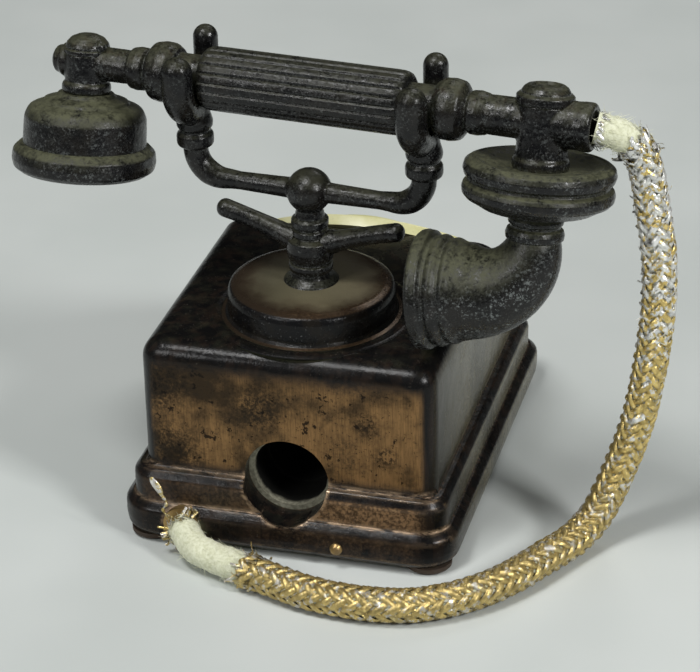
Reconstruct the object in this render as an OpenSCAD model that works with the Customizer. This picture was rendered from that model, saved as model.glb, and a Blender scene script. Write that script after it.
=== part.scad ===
// Miniature antique cradle telephone, a die-cast pencil sharpener.
// Origin: centre of the plinth's footprint on the resting plane.
// +X runs along the pencil-hole face, +Y towards the dial face, +Z up. Millimetres.

/* [Plinth] */
// Width of the plinth along X
plinth_w = 38; // [36:0.5:42]
// Depth of the plinth along Y
plinth_d = 50; // [48:0.5:56]
// Plan radius of the plinth's corners
plinth_corner = 4.2; // [3.8:0.1:5]
// Height of the crease between the two plinth bands
lower_band_top = 4.5; // [4.3:0.1:4.9]
// Height of the top of the upper plinth band
upper_band_top = 8.7; // [8.4:0.1:9.2]
// Step in from the lower band to the upper band
band_step = 1.1; // [0.8:0.1:1.4]
// Rounding of the bands' edges
band_round = 1.2; // [0.8:0.1:1.5]

/* [Feet and bottom plate] */
// Height of the foot pads
foot_h = 0.85; // [0.6:0.05:1.2]
// Radius of the foot pads
foot_r = 2.6; // [2:0.1:3]
// Distance of a foot pad's centre from the plinth's sides
foot_inset = 3.3; // [3:0.1:4.5]
// Thickness of the bottom plate
plate_t = 1.0; // [0.8:0.1:1.4]
// Width of the plinth's rim around the bottom plate
plate_rim = 2.2; // [1.8:0.1:2.8]
// Radius of the plate's pressed centre foot
centre_foot_r = 5; // [4:0.5:6]
// Distance of the plate screws from the middle, along X
plate_screw_x = 11.5; // [11:0.1:12.5]
// Place of the plate screws along Y
plate_screw_y = -6; // [-8:0.5:-4]
// Radius of the plate screws' shank
plate_screw_r = 0.8; // [0.6:0.1:1]
// Radius of the plate screws' head
plate_screw_head_r = 1.6; // [1.3:0.1:1.9]

/* [Body] */
// Width of the body along X
body_w = 33; // [31:0.5:35]
// Distance of the pencil-hole face from the middle
body_front = 22.45; // [21.5:0.05:23]
// Height of the deck
body_top = 23.9; // [22:0.1:26]
// Place of the deck's rear edge along Y
ridge_y = 9.95; // [8:0.05:12]
// Place of the sloping face's foot along Y
slope_foot_y = 22.45; // [21.5:0.05:23]
// Height of the sloping face's foot
slope_foot_z = 8.9; // [8.8:0.1:10]
// Rounding of the body's edges
body_round = 2.4; // [1.8:0.1:3]
// Rounding of the edge between the deck and the sloping face
ridge_round = 0.8; // [0.5:0.1:1.2]
// Thickness of the casting's walls
wall = 1.6; // [1.2:0.1:2]

/* [Pencil hole and sharpener] */
// Radius of the pencil hole in the casting
pencil_hole_r = 4.75; // [4.2:0.05:4.9]
// Height of the pencil hole's axis
pencil_z = 9.0; // [9:0.1:9.6]
// Radius of the sharpener block's guide bore
guide_r = 4.2; // [3.9:0.05:4.4]
// Length of the sharpener block's guide bore
guide_l = 5; // [4.2:0.1:6]
// Width of the sharpener block
block_w = 13; // [12:0.5:15]
// Length of the sharpener block
block_l = 23; // [21:0.5:25]
// Height of the sharpener block above the pencil's axis
block_up = 5.4; // [5.2:0.1:6]
// Radius of the sharpener's cone at its wide end
cone_wide_r = 3.9; // [3.6:0.05:4.1]
// Radius of the sharpener's cone at its narrow end
cone_narrow_r = 0.5; // [0.4:0.05:0.8]
// Length of the blade
blade_l = 15; // [13:0.5:17]
// Width of the blade
blade_w = 7; // [6:0.5:8]
// Thickness of the blade
blade_t = 0.5; // [0.4:0.05:0.7]
// Depth by which the blade's seat opens the cone
blade_bite = 0.4; // [0.3:0.05:0.5]
// Radius of the blade screw's shank
blade_screw_r = 0.7; // [0.5:0.05:0.8]
// Radius of the blade screw's head
blade_screw_head_r = 1.5; // [1.2:0.1:1.8]

/* [Plinth rivet and cord hole] */
// Place of the rivet along X
rivet_x = 6.15; // [5:0.05:8]
// Height of the rivet
rivet_z = 2.55; // [2.2:0.05:2.9]
// Radius of the rivet's head
rivet_r = 0.7; // [0.5:0.05:0.9]
// Place of the cord hole along X
cord_hole_x = -11.5; // [-12.5:0.1:-10]
// Height of the cord hole
cord_hole_z = 3.0; // [2.9:0.05:3.2]
// Radius of the cord hole in the plinth
cord_hole_r = 2.1; // [1.8:0.05:2.2]

/* [Turret] */
// Distance of the turret's axis in front of the middle, along Y
turret_y = -10.75; // [-12:0.05:-10]
// Radius of the raised ring seat on the deck
seat_r = 11.4; // [10.5:0.1:12]
// Height of the ring seat above the deck
seat_h = 0.25; // [0.15:0.05:0.5]
// Radius of the drum
drum_r = 9.25; // [8.5:0.05:10]
// Height of the drum
drum_h = 3.65; // [3:0.05:4.5]
// Turn of the cradle about the turret's axis
cradle_yaw = -5.5; // [-8:0.5:0]
// Radius of the screw that holds the post
post_screw_r = 1.0; // [0.8:0.1:1.2]
// Radius of the post screw's head
post_screw_head_r = 2.0; // [1.7:0.1:2.3]

/* [Post] */
// Radius of the step where the post meets the drum
post_foot_r = 2.8; // [2.5:0.1:3]
// Radius of the post's collar
post_collar_r = 2.4; // [2.2:0.05:2.6]
// Radius of the post's hub, which carries the hook arms
post_hub_r = 2.55; // [2.4:0.05:2.7]
// Radius of the post's lower ring
post_ring_low_r = 1.9; // [1.7:0.05:2.1]
// Radius of the post's upper ring
post_ring_high_r = 2.0; // [1.8:0.05:2.2]
// Radius of the spigot on top of the post
spigot_r = 0.9; // [0.7:0.05:1]
// Running clearance of spigots in their holes
spigot_gap = 0.02; // [0.01:0.01:0.05]

/* [Hook arms] */
// Reach of a hook arm's tip from the turret's axis
arm_reach = 10.9; // [9:0.1:12]
// Climb of a hook arm from its root to its tip
arm_climb = 2.4; // [1.5:0.1:3]
// Radius of a hook arm at its root
arm_root_r = 1.05; // [0.9:0.05:1.2]
// Radius of a hook arm at its tip
arm_tip_r = 0.9; // [0.7:0.05:1]

/* [Yoke] */
// Radius of the ball in the middle of the yoke
ball_r = 2.5; // [2.2:0.05:2.8]
// Height of the yoke's bar
bar_z = 38.4; // [38:0.1:39]
// Radius of the bar beside the ball
bar_root_r = 1.2; // [1.1:0.05:1.4]
// Radius of the bar at its waist
bar_waist_r = 0.96; // [0.8:0.02:1.1]
// Place of the bar's waist along X
bar_waist_x = 8; // [7:0.1:8.5]
// Radius of the yoke's bends and uprights
upright_r = 1.38; // [1.25:0.01:1.45]
// Radius of the yoke's bends, along their middle
yoke_bend = 3.2; // [3:0.1:3.6]
// Distance of each fork from the turret's axis
fork_x = 13.1; // [12.8:0.1:13.4]
// Height of the forks' lower end
fork_base_z = 42.2; // [42:0.1:42.5]

/* [Forks] */
// Radius of the forks' collar
fork_collar_r = 2.04; // [1.9:0.02:2.1]
// Radius of the forks' upper ring
fork_ring_r = 2.0; // [1.85:0.05:2.1]
// Radius of the forks' bar
fork_bar_r = 1.37; // [1.3:0.01:1.4]
// Height of the prongs' tips
prong_top = 54.4; // [54:0.1:55]

/* [Handset pose] */
// Height of the handset's axis
handset_z = 50; // [50:0.1:50.4]
// Roll of the handset about its own axis
handset_roll = 12.5; // [10:0.5:14]
// Gap between the handset's necks and the forks
rest_gap = 0.02; // [0.01:0.01:0.05]
// Side play of the handset's necks in the forks
neck_play = 0.18; // [0.15:0.01:0.3]

/* [Handset bar] */
// Radius of the handset's necks
neck_r = 2.3; // [2.2:0.05:2.4]
// Distance from the middle to the grip's ends
grip_half = 11.6; // [11.2:0.05:11.7]
// Radius of the grip
grip_r = 3.45; // [3.2:0.05:3.6]
// Number of flutes around the grip
flute_count = 20; // [16:1:24]
// Depth of a flute
flute_depth = 0.28; // [0.2:0.02:0.4]
// Radius of the core rod through the grip
core_r = 1.5; // [1.2:0.05:1.7]
// Radius of the handset's bulbs
bulb_r = 3.3; // [3:0.05:3.5]
// Length of a bulb
bulb_l = 3.4; // [3:0.1:3.6]
// Radius of the handset's beads
bead_r = 2.25; // [2:0.05:2.4]
// Length of a bead
bead_l = 2.2; // [2:0.1:2.4]
// Radius of the tube between a bead and its hub
tube_r = 1.85; // [1.7:0.05:2]

/* [Earpiece] */
// Place of the earpiece's axis along the handset
ear_x = -25.5; // [-26.5:0.1:-25]
// Radius of the earpiece's hub
ear_hub_r = 2.5; // [2.3:0.05:2.7]
// Radius of the collar under the hub
ear_collar_r = 3.05; // [2.9:0.05:3.2]
// Radius of the earpiece's body
ear_r = 6.8; // [6.4:0.1:7]
// Radius of the step on top of the earpiece
ear_step_r = 4.55; // [4.3:0.05:4.8]
// Radius of the earpiece's cap
ear_cap_r = 7.85; // [7.5:0.05:8.2]
// Thickness of the earpiece's cap
ear_cap_t = 3.1; // [2.8:0.1:3.4]
// Thickness of the earpiece's walls
ear_wall = 1.0; // [0.8:0.1:1.2]
// Radius of the earpiece's dome screw
dome_r = 2.6; // [2.3:0.05:2.8]

/* [Mouthpiece] */
// Place of the mouthpiece's axis along the handset
mouth_x = 26.1; // [25.6:0.1:26.6]
// Radius of the mouthpiece's hub
mouth_hub_r = 2.6; // [2.4:0.05:2.7]
// Radius of the dome nut on the hub
nut_r = 2.9; // [2.6:0.05:3.1]
// Radius of the tail socket that takes the cord
tail_r = 2.6; // [2.4:0.05:2.7]
// Place of the tail socket's end along the handset
tail_end = 31.6; // [31:0.1:32]
// Radius of the capsule's rims
capsule_r = 8.0; // [7.6:0.05:8.2]
// Radius of the groove between the capsule's rims
capsule_groove_r = 7.55; // [7.2:0.05:7.7]
// Radius of the dish inside the capsule's upper rim
dish_r = 6.95; // [6.6:0.05:7.1]
// Radius of the collar under the capsule
elbow_collar_r = 3.05; // [2.9:0.05:3.2]

/* [Horn] */
// Radius of the horn's tube at its start
horn_start_r = 2.75; // [2.6:0.05:2.85]
// Radius of the horn's tube near its mouth
horn_end_r = 5.5; // [5:0.1:5.6]
// Radius of the horn's mouth bead
horn_rim_r = 6.1; // [5.8:0.05:6.15]
// Thickness of the horn's wall
horn_wall = 0.8; // [0.6:0.05:1]
// Radius of the horn's bend, along its middle
horn_bend = 5.5; // [5.2:0.1:5.6]
// Angle of the horn's bend
horn_angle = 84; // [80:1:88]
// Straight length of the horn after its bend
horn_straight = 6; // [5:0.1:6.5]

/* [Dial] */
// Width of the dial plate
dial_w = 30; // [26:0.5:31]
// Radius of the dial plate's arched top
dial_arch_r = 20; // [17:0.5:24]
// Height of the arch above the deck's rear edge, along the slope
dial_rise = 1.0; // [0.6:0.1:1.4]
// Distance of the plate's lower edge from the slope's foot
dial_foot = 1.2; // [0.8:0.1:2]
// Thickness of the dial plate
dial_t = 1.4; // [1:0.1:1.8]
// Radius of the finger wheel
wheel_r = 8.6; // [8:0.1:9]
// Thickness of the finger wheel
wheel_t = 1.2; // [1:0.1:1.5]
// Radius of the circle that the finger holes lie on
finger_ring_r = 6.4; // [6.2:0.1:6.6]
// Radius of a finger hole
finger_hole_r = 1.25; // [1:0.05:1.35]
// Number of finger holes
finger_holes = 10; // [8:1:10]
// Gap between the dial plate and the finger wheel
wheel_gap = 0.2; // [0.15:0.05:0.3]
// Radius of the dial's spindle
spindle_r = 1.2; // [1:0.05:1.4]
// Running clearance of the finger wheel on its spindle
spindle_play = 0.05; // [0.03:0.01:0.08]
// Radius of the dial's cap
dial_cap_r = 2.6; // [2.2:0.1:3]

/* [Cord] */
// Diameter of the cord
cord_d = 3.9; // [3.5:0.1:4]
// Sides of the cord's solid
cord_sides = 8; // [8:1:12]

/* [Hidden] */
fine = 64;
smooth = 32;
deck_under = body_top - wall;
slope_angle = atan2(body_top - slope_foot_z, slope_foot_y - ridge_y);
slope_length = norm([body_top - slope_foot_z, slope_foot_y - ridge_y]);
plate_top = foot_h + plate_t;
// Metal behind the plinth's face, which the rivet and the cord hole go half way through.
plinth_metal = plinth_d / 2 - body_front + wall;
rivet_stud_l = plinth_metal * 0.46;
cord_hole_l = plinth_metal * 0.53;
plate_gap = 0.1;
seat_top = body_top + seat_h;
drum_top = seat_top + drum_h;

// Post heights, from the drum's top upward
post_foot_top = drum_top + 1.3;
post_collar_top = post_foot_top + 0.9;
post_groove_top = post_collar_top + 0.4;
post_hub_top = post_groove_top + 2.6;
post_ring_low_top = post_hub_top + 1.1;
post_top = post_ring_low_top + 1.3;
post_groove_r = post_collar_r - 0.25;
spigot_l = 2.2;
arm_z = post_groove_top + 1.5;
arm_angle = atan2(arm_climb, arm_reach - post_hub_r);
arm_length = norm([arm_climb, arm_reach - post_hub_r]) - arm_tip_r;
arm_peg_r = 0.55;
arm_peg_l = 1.0;

// Fork heights
upright_z = bar_z + yoke_bend;
fork_peg_r = 0.8;
fork_peg_l = 1.4;
fork_collar_top = fork_base_z + 2;
fork_ring_z = fork_collar_top + 0.4;
fork_ring_top = fork_ring_z + 1.4;
saddle_r = neck_r + neck_play;
fork_bend = saddle_r + fork_bar_r;
fork_bend_z = handset_z - neck_r - rest_gap + saddle_r;

// Handset bar, from the grip's end outward
neck_end = fork_x + fork_bar_r + 0.13;
bulb_end = neck_end + bulb_l;
bead_end = bulb_end + bead_l;
core_half = grip_half + 2;
core_gap = 0.02;

// Earpiece heights below the handset's axis
ear_hub_top = 1.6;
ear_collar_z = -3.1;
ear_step_z = -3.8;
ear_body_z = -9.0;
ear_screw_r = 0.8;

// Mouthpiece heights below the handset's axis
nut_base_z = 2.0;
capsule_top_z = -4.6;
capsule_low_z = -8.7;
capsule_cone_z = -11.0;
elbow_top_z = -13.2;
// Rims and rings of the mouth capsule, and the rounding of their edges.
capsule_rim_t = 1.8;
rim_round = 0.6;
dish_depth = 0.7;
cone_mid_r = 5.4;
elbow_ring_t = 1.2;
ring_round = 0.35;
// Clearance round the flat seats of the earpiece screw and the dome nut.
seat_play = 0.1;
nut_stud_r = 0.9;

// Sharpening cone and its wall's angle, which the blade follows
cone_l = block_l - guide_l - 1;
cone_angle = atan2(cone_wide_r - cone_narrow_r, cone_l);

// Dial
dial_mid = slope_length / 2 + 0.3;
wheel_z = dial_t + wheel_gap;
stop_angle = 35;

// Cord: the run from the tail socket, down to the floor and back to the plinth
floor_z = cord_d / 2;
tail_out = [cos(cradle_yaw), sin(cradle_yaw), 0];
tail_point = [0, turret_y, handset_z] + tail_end * tail_out;
cord_hang = [
    [34.0, -13.6, 49.4],
    [35.9, -13.4, 47.8],
    [36.8, -13.1, 45.0],
    [37.5, -12.8, 41.0],
    [38.2, -12.4, 36.0],
    [38.4, -12.2, 31.0],
    [38.1, -11.9, 26.0],
    [37.5, -11.6, 21.0],
    [36.7, -11.3, 16.0],
    [35.4, -11.2, 11.0],
    [33.9, -11.8, 6.5],
    [32.4, -13.4, 3.3]
];
cord_floor = [
    [30.6, -16.4, floor_z],
    [28.4, -20.4, floor_z],
    [25.6, -25.2, floor_z],
    [21.8, -29.6, floor_z],
    [16.6, -32.8, floor_z],
    [10.8, -33.7, floor_z],
    [5.0, -33.0, floor_z],
    [-0.2, -31.2, floor_z],
    [-5.0, -29.4, floor_z],
    [-8.8, -28.0, 2.3]
];
cord_route = concat([tail_point], cord_hang, cord_floor, [[cord_hole_x, -plinth_d / 2, cord_hole_z]]);

$fn = fine;

// ---------------------------------------------------------------- shared shapes

// Rounded rectangle, centred
module rounded_plan(w, d, r) {
    square([w - 2 * r, d], center = true);
    square([w, d - 2 * r], center = true);
    for (x = [-1, 1], y = [-1, 1])
        translate([x * (w / 2 - r), y * (d / 2 - r)])
            circle(r = r);
}

// Plinth band with rounded upper and lower edges
module band(w, d, r, z0, z1, e) {
    hull()
        for (x = [-1, 1], y = [-1, 1], z = [z0 + e, z1 - e])
            translate([x * (w / 2 - r), y * (d / 2 - r), z])
                rotate_extrude($fn = smooth)
                    translate([r - e, 0])
                        circle(r = e, $fn = 16);
}

// The body's outline, moved inwards by inset, standing on height z0
module body_envelope(inset, z0) {
    r = max(body_round - inset, 0.6);
    ridge_r = max(ridge_round - inset, 0.4);
    half_w = body_w / 2 - inset;
    top = body_top - inset;
    ridge = ridge_y - inset * tan(slope_angle / 2);
    hull()
        for (x = [-1, 1]) {
            translate([x * (half_w - r), -body_front + inset + r, z0])
                cylinder(r = r, h = 1, $fn = smooth);
            translate([x * (half_w - r), slope_foot_y - inset - r, z0])
                cylinder(r = r, h = slope_foot_z - z0, $fn = smooth);
            translate([x * (half_w - r), -body_front + inset + r, top - r])
                sphere(r = r, $fn = smooth);
            translate([x * (half_w - ridge_r), ridge - ridge_r * tan(slope_angle / 2), top - ridge_r])
                sphere(r = ridge_r, $fn = smooth);
        }
}

// Turned piece: its outline is a list of [radius, height] points
module turned(outline) {
    rotate_extrude()
        polygon(outline);
}

// Disc of radius r and height h with its upper and lower edges rounded by e
module rounded_disc(r, h, e) {
    rotate_extrude() {
        square([r - e, h]);
        translate([0, e])
            square([r, h - 2 * e]);
        for (z = [e, h - e])
            translate([r - e, z])
                circle(r = e, $fn = smooth);
    }
}

// Moves a child onto the turret's axis, turned with the cradle
module in_cradle() {
    translate([0, turret_y, 0])
        rotate([0, 0, cradle_yaw])
            children();
}

// Moves a child from the handset's own frame to its place in the forks
module in_handset() {
    translate([0, turret_y, handset_z])
        rotate([0, 0, cradle_yaw])
            rotate([-handset_roll, 0, 0])
                children();
}

// Moves a child onto the sloping face: local +Y runs down the slope, +Z out of it
module on_slope() {
    translate([0, ridge_y, body_top])
        rotate([-slope_angle, 0, 0])
            children();
}

// Turns a child so that its +Z runs along +X
module along_x() {
    rotate([0, 90, 0])
        children();
}

function unit(v) = v / norm(v);

// Carries a sideways vector u along a list of directions without twisting it
function carried(directions, u, i = 0) =
    i == len(directions) ? []
        : let (t = directions[i], v = unit(u - (u * t) * t)) concat([v], carried(directions, v, i + 1));

// Ring of n points and radius r around the place p, square to direction t, starting at u
function ring_points(p, t, u, r, n) =
    [for (i = [0:n - 1]) p + r * (cos(360 * i / n) * u + sin(360 * i / n) * cross(t, u))];

// Faces of a swept solid of m rings with n points each
function sweep_faces(m, n) = concat(
    [[for (i = [0:n - 1]) i]],
    [for (j = [0:m - 2], i = [0:n - 1])
        [j * n + i, (j + 1) * n + i, (j + 1) * n + (i + 1) % n, j * n + (i + 1) % n]],
    [[for (i = [n - 1:-1:0]) (m - 1) * n + i]]
);

// Solid swept along places with a direction and a radius at each, starting sideways at side
module swept(places, directions, radii, side, n) {
    m = len(places);
    sides = carried(directions, side);
    points = [for (j = [0:m - 1]) each ring_points(places[j], directions[j], sides[j], radii[j], n)];
    polyhedron(points, sweep_faces(m, n), convexity = 6);
}

// Direction of a route at point i: square to the face at each end, mean of its steps between
function route_direction(route, i, first, last) =
    i == 0 ? first : i == len(route) - 1 ? last
        : unit(unit(route[i + 1] - route[i]) + unit(route[i] - route[i - 1]));

// ---------------------------------------------------------------- base

module plate_screw_places() {
    for (x = [-plate_screw_x, plate_screw_x])
        translate([x, plate_screw_y, 0])
            children();
}

module base_housing() {
    color("#4a3327")
    difference() {
        union() {
            difference() {
                union() {
                    band(plinth_w, plinth_d, plinth_corner, foot_h, lower_band_top + 0.5, band_round);
                    band(plinth_w - 2 * band_step, plinth_d - 2 * band_step, plinth_corner - 0.6,
                        lower_band_top - 1, upper_band_top, band_round);
                    body_envelope(0, lower_band_top);
                    translate([0, turret_y, body_top - body_round + 0.2])
                        cylinder(r = seat_r, h = body_round - 0.2 + seat_h);
                }
                body_envelope(wall, plate_top);
                translate([0, 0, foot_h - 1])
                    linear_extrude(plate_t + 1)
                        rounded_plan(plinth_w - 2 * plate_rim, plinth_d - 2 * plate_rim, 2);
            }
            plate_screw_places()
                translate([0, 0, plate_top])
                    cylinder(r = 2.2, h = deck_under - plate_top + 0.5);
        }
        translate([0, -plinth_d / 2 - 1, pencil_z])
            rotate([-90, 0, 0])
                cylinder(r = pencil_hole_r, h = plinth_d / 2 + 1 - body_front + wall + 0.2);
        translate([cord_hole_x, -plinth_d / 2 - 1, cord_hole_z])
            rotate([-90, 0, 0])
                cylinder(r = cord_hole_r, h = cord_hole_l + 1);
        translate([rivet_x, -plinth_d / 2 - 1, rivet_z])
            rotate([-90, 0, 0])
                cylinder(r = rivet_r / 2, h = rivet_stud_l + 1.1);
        translate([0, turret_y, deck_under - 1])
            cylinder(r = post_screw_r + 0.1, h = wall + 2);
        plate_screw_places()
            translate([0, 0, plate_top - 1])
                cylinder(r = plate_screw_r, h = 7);
        on_slope()
            translate([0, dial_mid, -wall - 1])
                cylinder(r = spindle_r, h = wall + 3);
    }
}

module bottom_plate() {
    color("#5d5648")
    difference() {
        union() {
            translate([0, 0, foot_h])
                linear_extrude(plate_t)
                    rounded_plan(plinth_w - 2 * plate_rim - 2 * plate_gap,
                        plinth_d - 2 * plate_rim - 2 * plate_gap, 2);
            cylinder(r = centre_foot_r, h = foot_h + plate_t / 2);
        }
        plate_screw_places() {
            translate([0, 0, foot_h - 1])
                cylinder(r = plate_screw_r + 0.1, h = plate_t + 2);
            translate([0, 0, foot_h - 1])
                cylinder(r = plate_screw_head_r + 0.1, h = 1.5);
        }
    }
}

module plate_screw(side) {
    color("#8a8272")
    translate([side * plate_screw_x, plate_screw_y, 0]) {
        translate([0, 0, foot_h - 0.1])
            cylinder(r = plate_screw_head_r, h = 0.58);
        translate([0, 0, foot_h])
            cylinder(r = plate_screw_r - 0.01, h = 6);
    }
}

module foot(x, y) {
    color("#6b3f2a")
    translate([x * (plinth_w / 2 - foot_inset), y * (plinth_d / 2 - foot_inset), 0])
        cylinder(r = foot_r, h = foot_h);
}

module plinth_rivet() {
    color("#b08a4a")
    translate([rivet_x, -plinth_d / 2, rivet_z])
        rotate([90, 0, 0]) {
            translate([0, 0, -0.35])
                intersection() {
                    sphere(r = rivet_r * 1.4);
                    translate([0, 0, 0.35])
                        cylinder(r = rivet_r, h = 1);
                }
            translate([0, 0, -rivet_stud_l])
                cylinder(r = rivet_r / 2 - 0.01, h = rivet_stud_l + 0.2);
        }
}

// Places a child on the sharpener's axis with +Z running into the body
module on_pencil_axis() {
    translate([0, -body_front + wall + 0.05, pencil_z])
        rotate([-90, 0, 0])
            children();
}

module on_blade_seat() {
    on_pencil_axis()
        translate([0, -cone_wide_r + blade_bite, guide_l])
            rotate([-cone_angle, 0, 0])
                children();
}

module sharpener_block() {
    color("#a7a59c")
    difference() {
        on_pencil_axis()
            translate([-block_w / 2, -block_up, 0])
                cube([block_w, block_up + pencil_z - plate_top - 0.05, block_l]);
        on_pencil_axis() {
            translate([0, 0, -1])
                cylinder(r = guide_r, h = guide_l + 1);
            translate([0, 0, guide_l - 0.01])
                cylinder(r1 = cone_wide_r, r2 = cone_narrow_r, h = cone_l);
        }
        on_blade_seat()
            translate([-block_w, -block_l, -0.2])
                cube([2 * block_w, block_l, 2 * block_l]);
        on_blade_seat()
            translate([0, -0.5, blade_l / 2])
                rotate([-90, 0, 0])
                    translate([blade_w / 2 + 1, 0, 0])
                        cylinder(r = blade_screw_r, h = 4);
    }
}

module sharpener_blade() {
    color("#c8ccd0")
    on_blade_seat()
        difference() {
            translate([-0.8, -blade_t - 0.01, 0])
                cube([blade_w, blade_t, blade_l]);
            translate([blade_w / 2 + 1, -blade_t - 1, blade_l / 2])
                rotate([-90, 0, 0])
                    cylinder(r = blade_screw_r + 0.05, h = 3);
        }
}

module blade_screw() {
    color("#8a8272")
    on_blade_seat()
        translate([blade_w / 2 + 1, -blade_t - 0.02, blade_l / 2])
            rotate([-90, 0, 0]) {
                translate([0, 0, -0.9])
                    cylinder(r = blade_screw_head_r, h = 0.9);
                translate([0, 0, -0.1])
                    cylinder(r = blade_screw_r - 0.01, h = 3.3);
            }
}

module cord_ferrule() {
    color("#b79a55")
    translate([cord_hole_x, -plinth_d / 2, cord_hole_z])
        rotate([-90, 0, 0])
            cylinder(r = cord_hole_r - 0.02, h = cord_hole_l - 0.02);
}

// ---------------------------------------------------------------- dial

// Outline of the dial plate: a rectangle under an arch
module dial_outline() {
    intersection() {
        translate([-dial_w / 2, -dial_rise])
            square([dial_w, slope_length + dial_rise - dial_foot]);
        translate([0, dial_arch_r - dial_rise])
            circle(r = dial_arch_r, $fn = 128);
    }
}

module dial_plate() {
    color("#dcd6a8")
    on_slope()
        difference() {
            translate([0, 0, 0.01])
                linear_extrude(dial_t - 0.01)
                    dial_outline();
            translate([0, dial_mid, -1])
                cylinder(r = spindle_r + 0.02, h = dial_t + 2);
        }
}

module finger_wheel() {
    color("#e2dcb0")
    on_slope()
        translate([0, dial_mid, wheel_z])
            difference() {
                rounded_disc(wheel_r, wheel_t, 0.35);
                translate([0, 0, -1])
                    cylinder(r = spindle_r + spindle_play, h = wheel_t + 2);
                for (i = [0:finger_holes - 1])
                    rotate([0, 0, 360 * (i + 0.5) / 12 + 90])
                        translate([finger_ring_r, 0, -1])
                            cylinder(r = finger_hole_r, h = wheel_t + 2);
            }
}

module dial_spindle() {
    color("#9a8b5e")
    on_slope()
        translate([0, dial_mid, 0]) {
            translate([0, 0, -wall - 0.5])
                cylinder(r = spindle_r - 0.01, h = wall + 0.5 + wheel_z + wheel_t + 0.3);
            translate([0, 0, wheel_z + wheel_t + 0.1])
                rounded_disc(dial_cap_r, 0.7, 0.3);
        }
}

module finger_stop() {
    color("#9a8b5e")
    on_slope()
        translate([0, dial_mid, 0])
            rotate([0, 0, stop_angle])
                difference() {
                    translate([wheel_r + 0.25, -0.6, dial_t])
                        cube([1.6, 1.2, wheel_gap + wheel_t + 0.9]);
                    translate([0, 0, -1])
                        cylinder(r = wheel_r + 0.2, h = wheel_z + wheel_t + 3);
                }
}

// ---------------------------------------------------------------- cradle

module turret_drum() {
    rim = 0.7;
    color("#3a2c22")
    translate([0, turret_y, seat_top])
        difference() {
            union() {
                rounded_disc(drum_r, drum_h - 0.25, rim);
                turned([[0, 0], [drum_r - 1.4, 0], [drum_r - 1.4, drum_h - 0.3], [post_foot_r + 0.6, drum_h], [0, drum_h]]);
            }
            translate([0, 0, -1])
                cylinder(r = post_screw_r + 0.1, h = drum_h + 2);
        }
}

module post_screw() {
    color("#8a8272")
    translate([0, turret_y, 0]) {
        translate([0, 0, deck_under - 1.4])
            cylinder(r = post_screw_head_r, h = 1.39);
        translate([0, 0, deck_under - 1])
            cylinder(r = post_screw_r - 0.01, h = post_collar_top - deck_under + 1);
    }
}

module cradle_post() {
    color("#33291f")
    in_cradle()
        difference() {
            union() {
                translate([0, 0, drum_top])
                    cylinder(r1 = post_foot_r, r2 = post_groove_r, h = post_foot_top - drum_top);
                translate([0, 0, post_foot_top])
                    rounded_disc(post_collar_r, post_collar_top - post_foot_top, 0.35);
                translate([0, 0, post_foot_top])
                    cylinder(r = post_groove_r, h = post_hub_top - post_foot_top);
                translate([0, 0, post_groove_top])
                    cylinder(r = post_hub_r, h = post_hub_top - post_groove_top);
                translate([0, 0, post_hub_top])
                    rounded_disc(post_ring_low_r, post_ring_low_top - post_hub_top, 0.4);
                translate([0, 0, post_ring_low_top])
                    rounded_disc(post_ring_high_r, post_top - post_ring_low_top, 0.4);
                translate([0, 0, post_hub_top])
                    cylinder(r = spigot_r, h = post_top - post_hub_top + spigot_l);
            }
            translate([0, 0, drum_top - 1])
                cylinder(r = post_screw_r, h = post_collar_top - drum_top + 1.1);
            for (side = [0, 180])
                rotate([0, 0, side])
                    translate([0, 0, arm_z])
                        rotate([0, 90 - arm_angle, 0])
                            translate([0, 0, post_hub_r - arm_peg_l - 0.1])
                                cylinder(r = arm_peg_r + spigot_gap, h = 3);
        }
}

module hook_arm(side) {
    color("#33291f")
    in_cradle()
        rotate([0, 0, side])
            translate([0, 0, arm_z])
                difference() {
                    rotate([0, 90 - arm_angle, 0]) {
                        translate([0, 0, post_hub_r - 0.4])
                            cylinder(r1 = arm_root_r, r2 = arm_tip_r, h = arm_length + 0.4);
                        translate([0, 0, post_hub_r + arm_length])
                            sphere(r = arm_tip_r);
                        translate([0, 0, post_hub_r - arm_peg_l])
                            cylinder(r = arm_peg_r, h = arm_peg_l + 1);
                    }
                    difference() {
                        translate([0, 0, -3])
                            cylinder(r = post_hub_r + 0.01, h = 6);
                        rotate([0, 90 - arm_angle, 0])
                            cylinder(r = arm_peg_r, h = 6);
                    }
                }
}

// Half of the yoke, on the +X side
module yoke_half() {
    translate([0, 0, bar_z])
        along_x()
            cylinder(r1 = bar_root_r, r2 = bar_waist_r, h = bar_waist_x);
    translate([bar_waist_x, 0, bar_z])
        along_x()
            cylinder(r1 = bar_waist_r, r2 = upright_r, h = fork_x - yoke_bend - bar_waist_x);
    translate([fork_x - yoke_bend, 0, upright_z])
        rotate([90, 0, 0])
            rotate([0, 0, -90])
                rotate_extrude(angle = 90)
                    translate([yoke_bend, 0])
                        circle(r = upright_r, $fn = smooth);
    translate([fork_x, 0, upright_z])
        cylinder(r = upright_r, h = fork_base_z - upright_z);
    translate([fork_x, 0, upright_z])
        cylinder(r = fork_peg_r, h = fork_base_z - upright_z + fork_peg_l);
}

module cradle_yoke() {
    color("#33291f")
    in_cradle()
        difference() {
            union() {
                translate([0, 0, bar_z])
                    sphere(r = ball_r);
                translate([0, 0, post_top])
                    cylinder(r1 = post_ring_low_r - 0.3, r2 = post_ring_low_r - 0.5, h = bar_z - post_top);
                yoke_half();
                mirror([1, 0, 0])
                    yoke_half();
            }
            translate([0, 0, post_top - 1])
                cylinder(r = spigot_r + spigot_gap, h = spigot_l + 1.1);
        }
}

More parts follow.
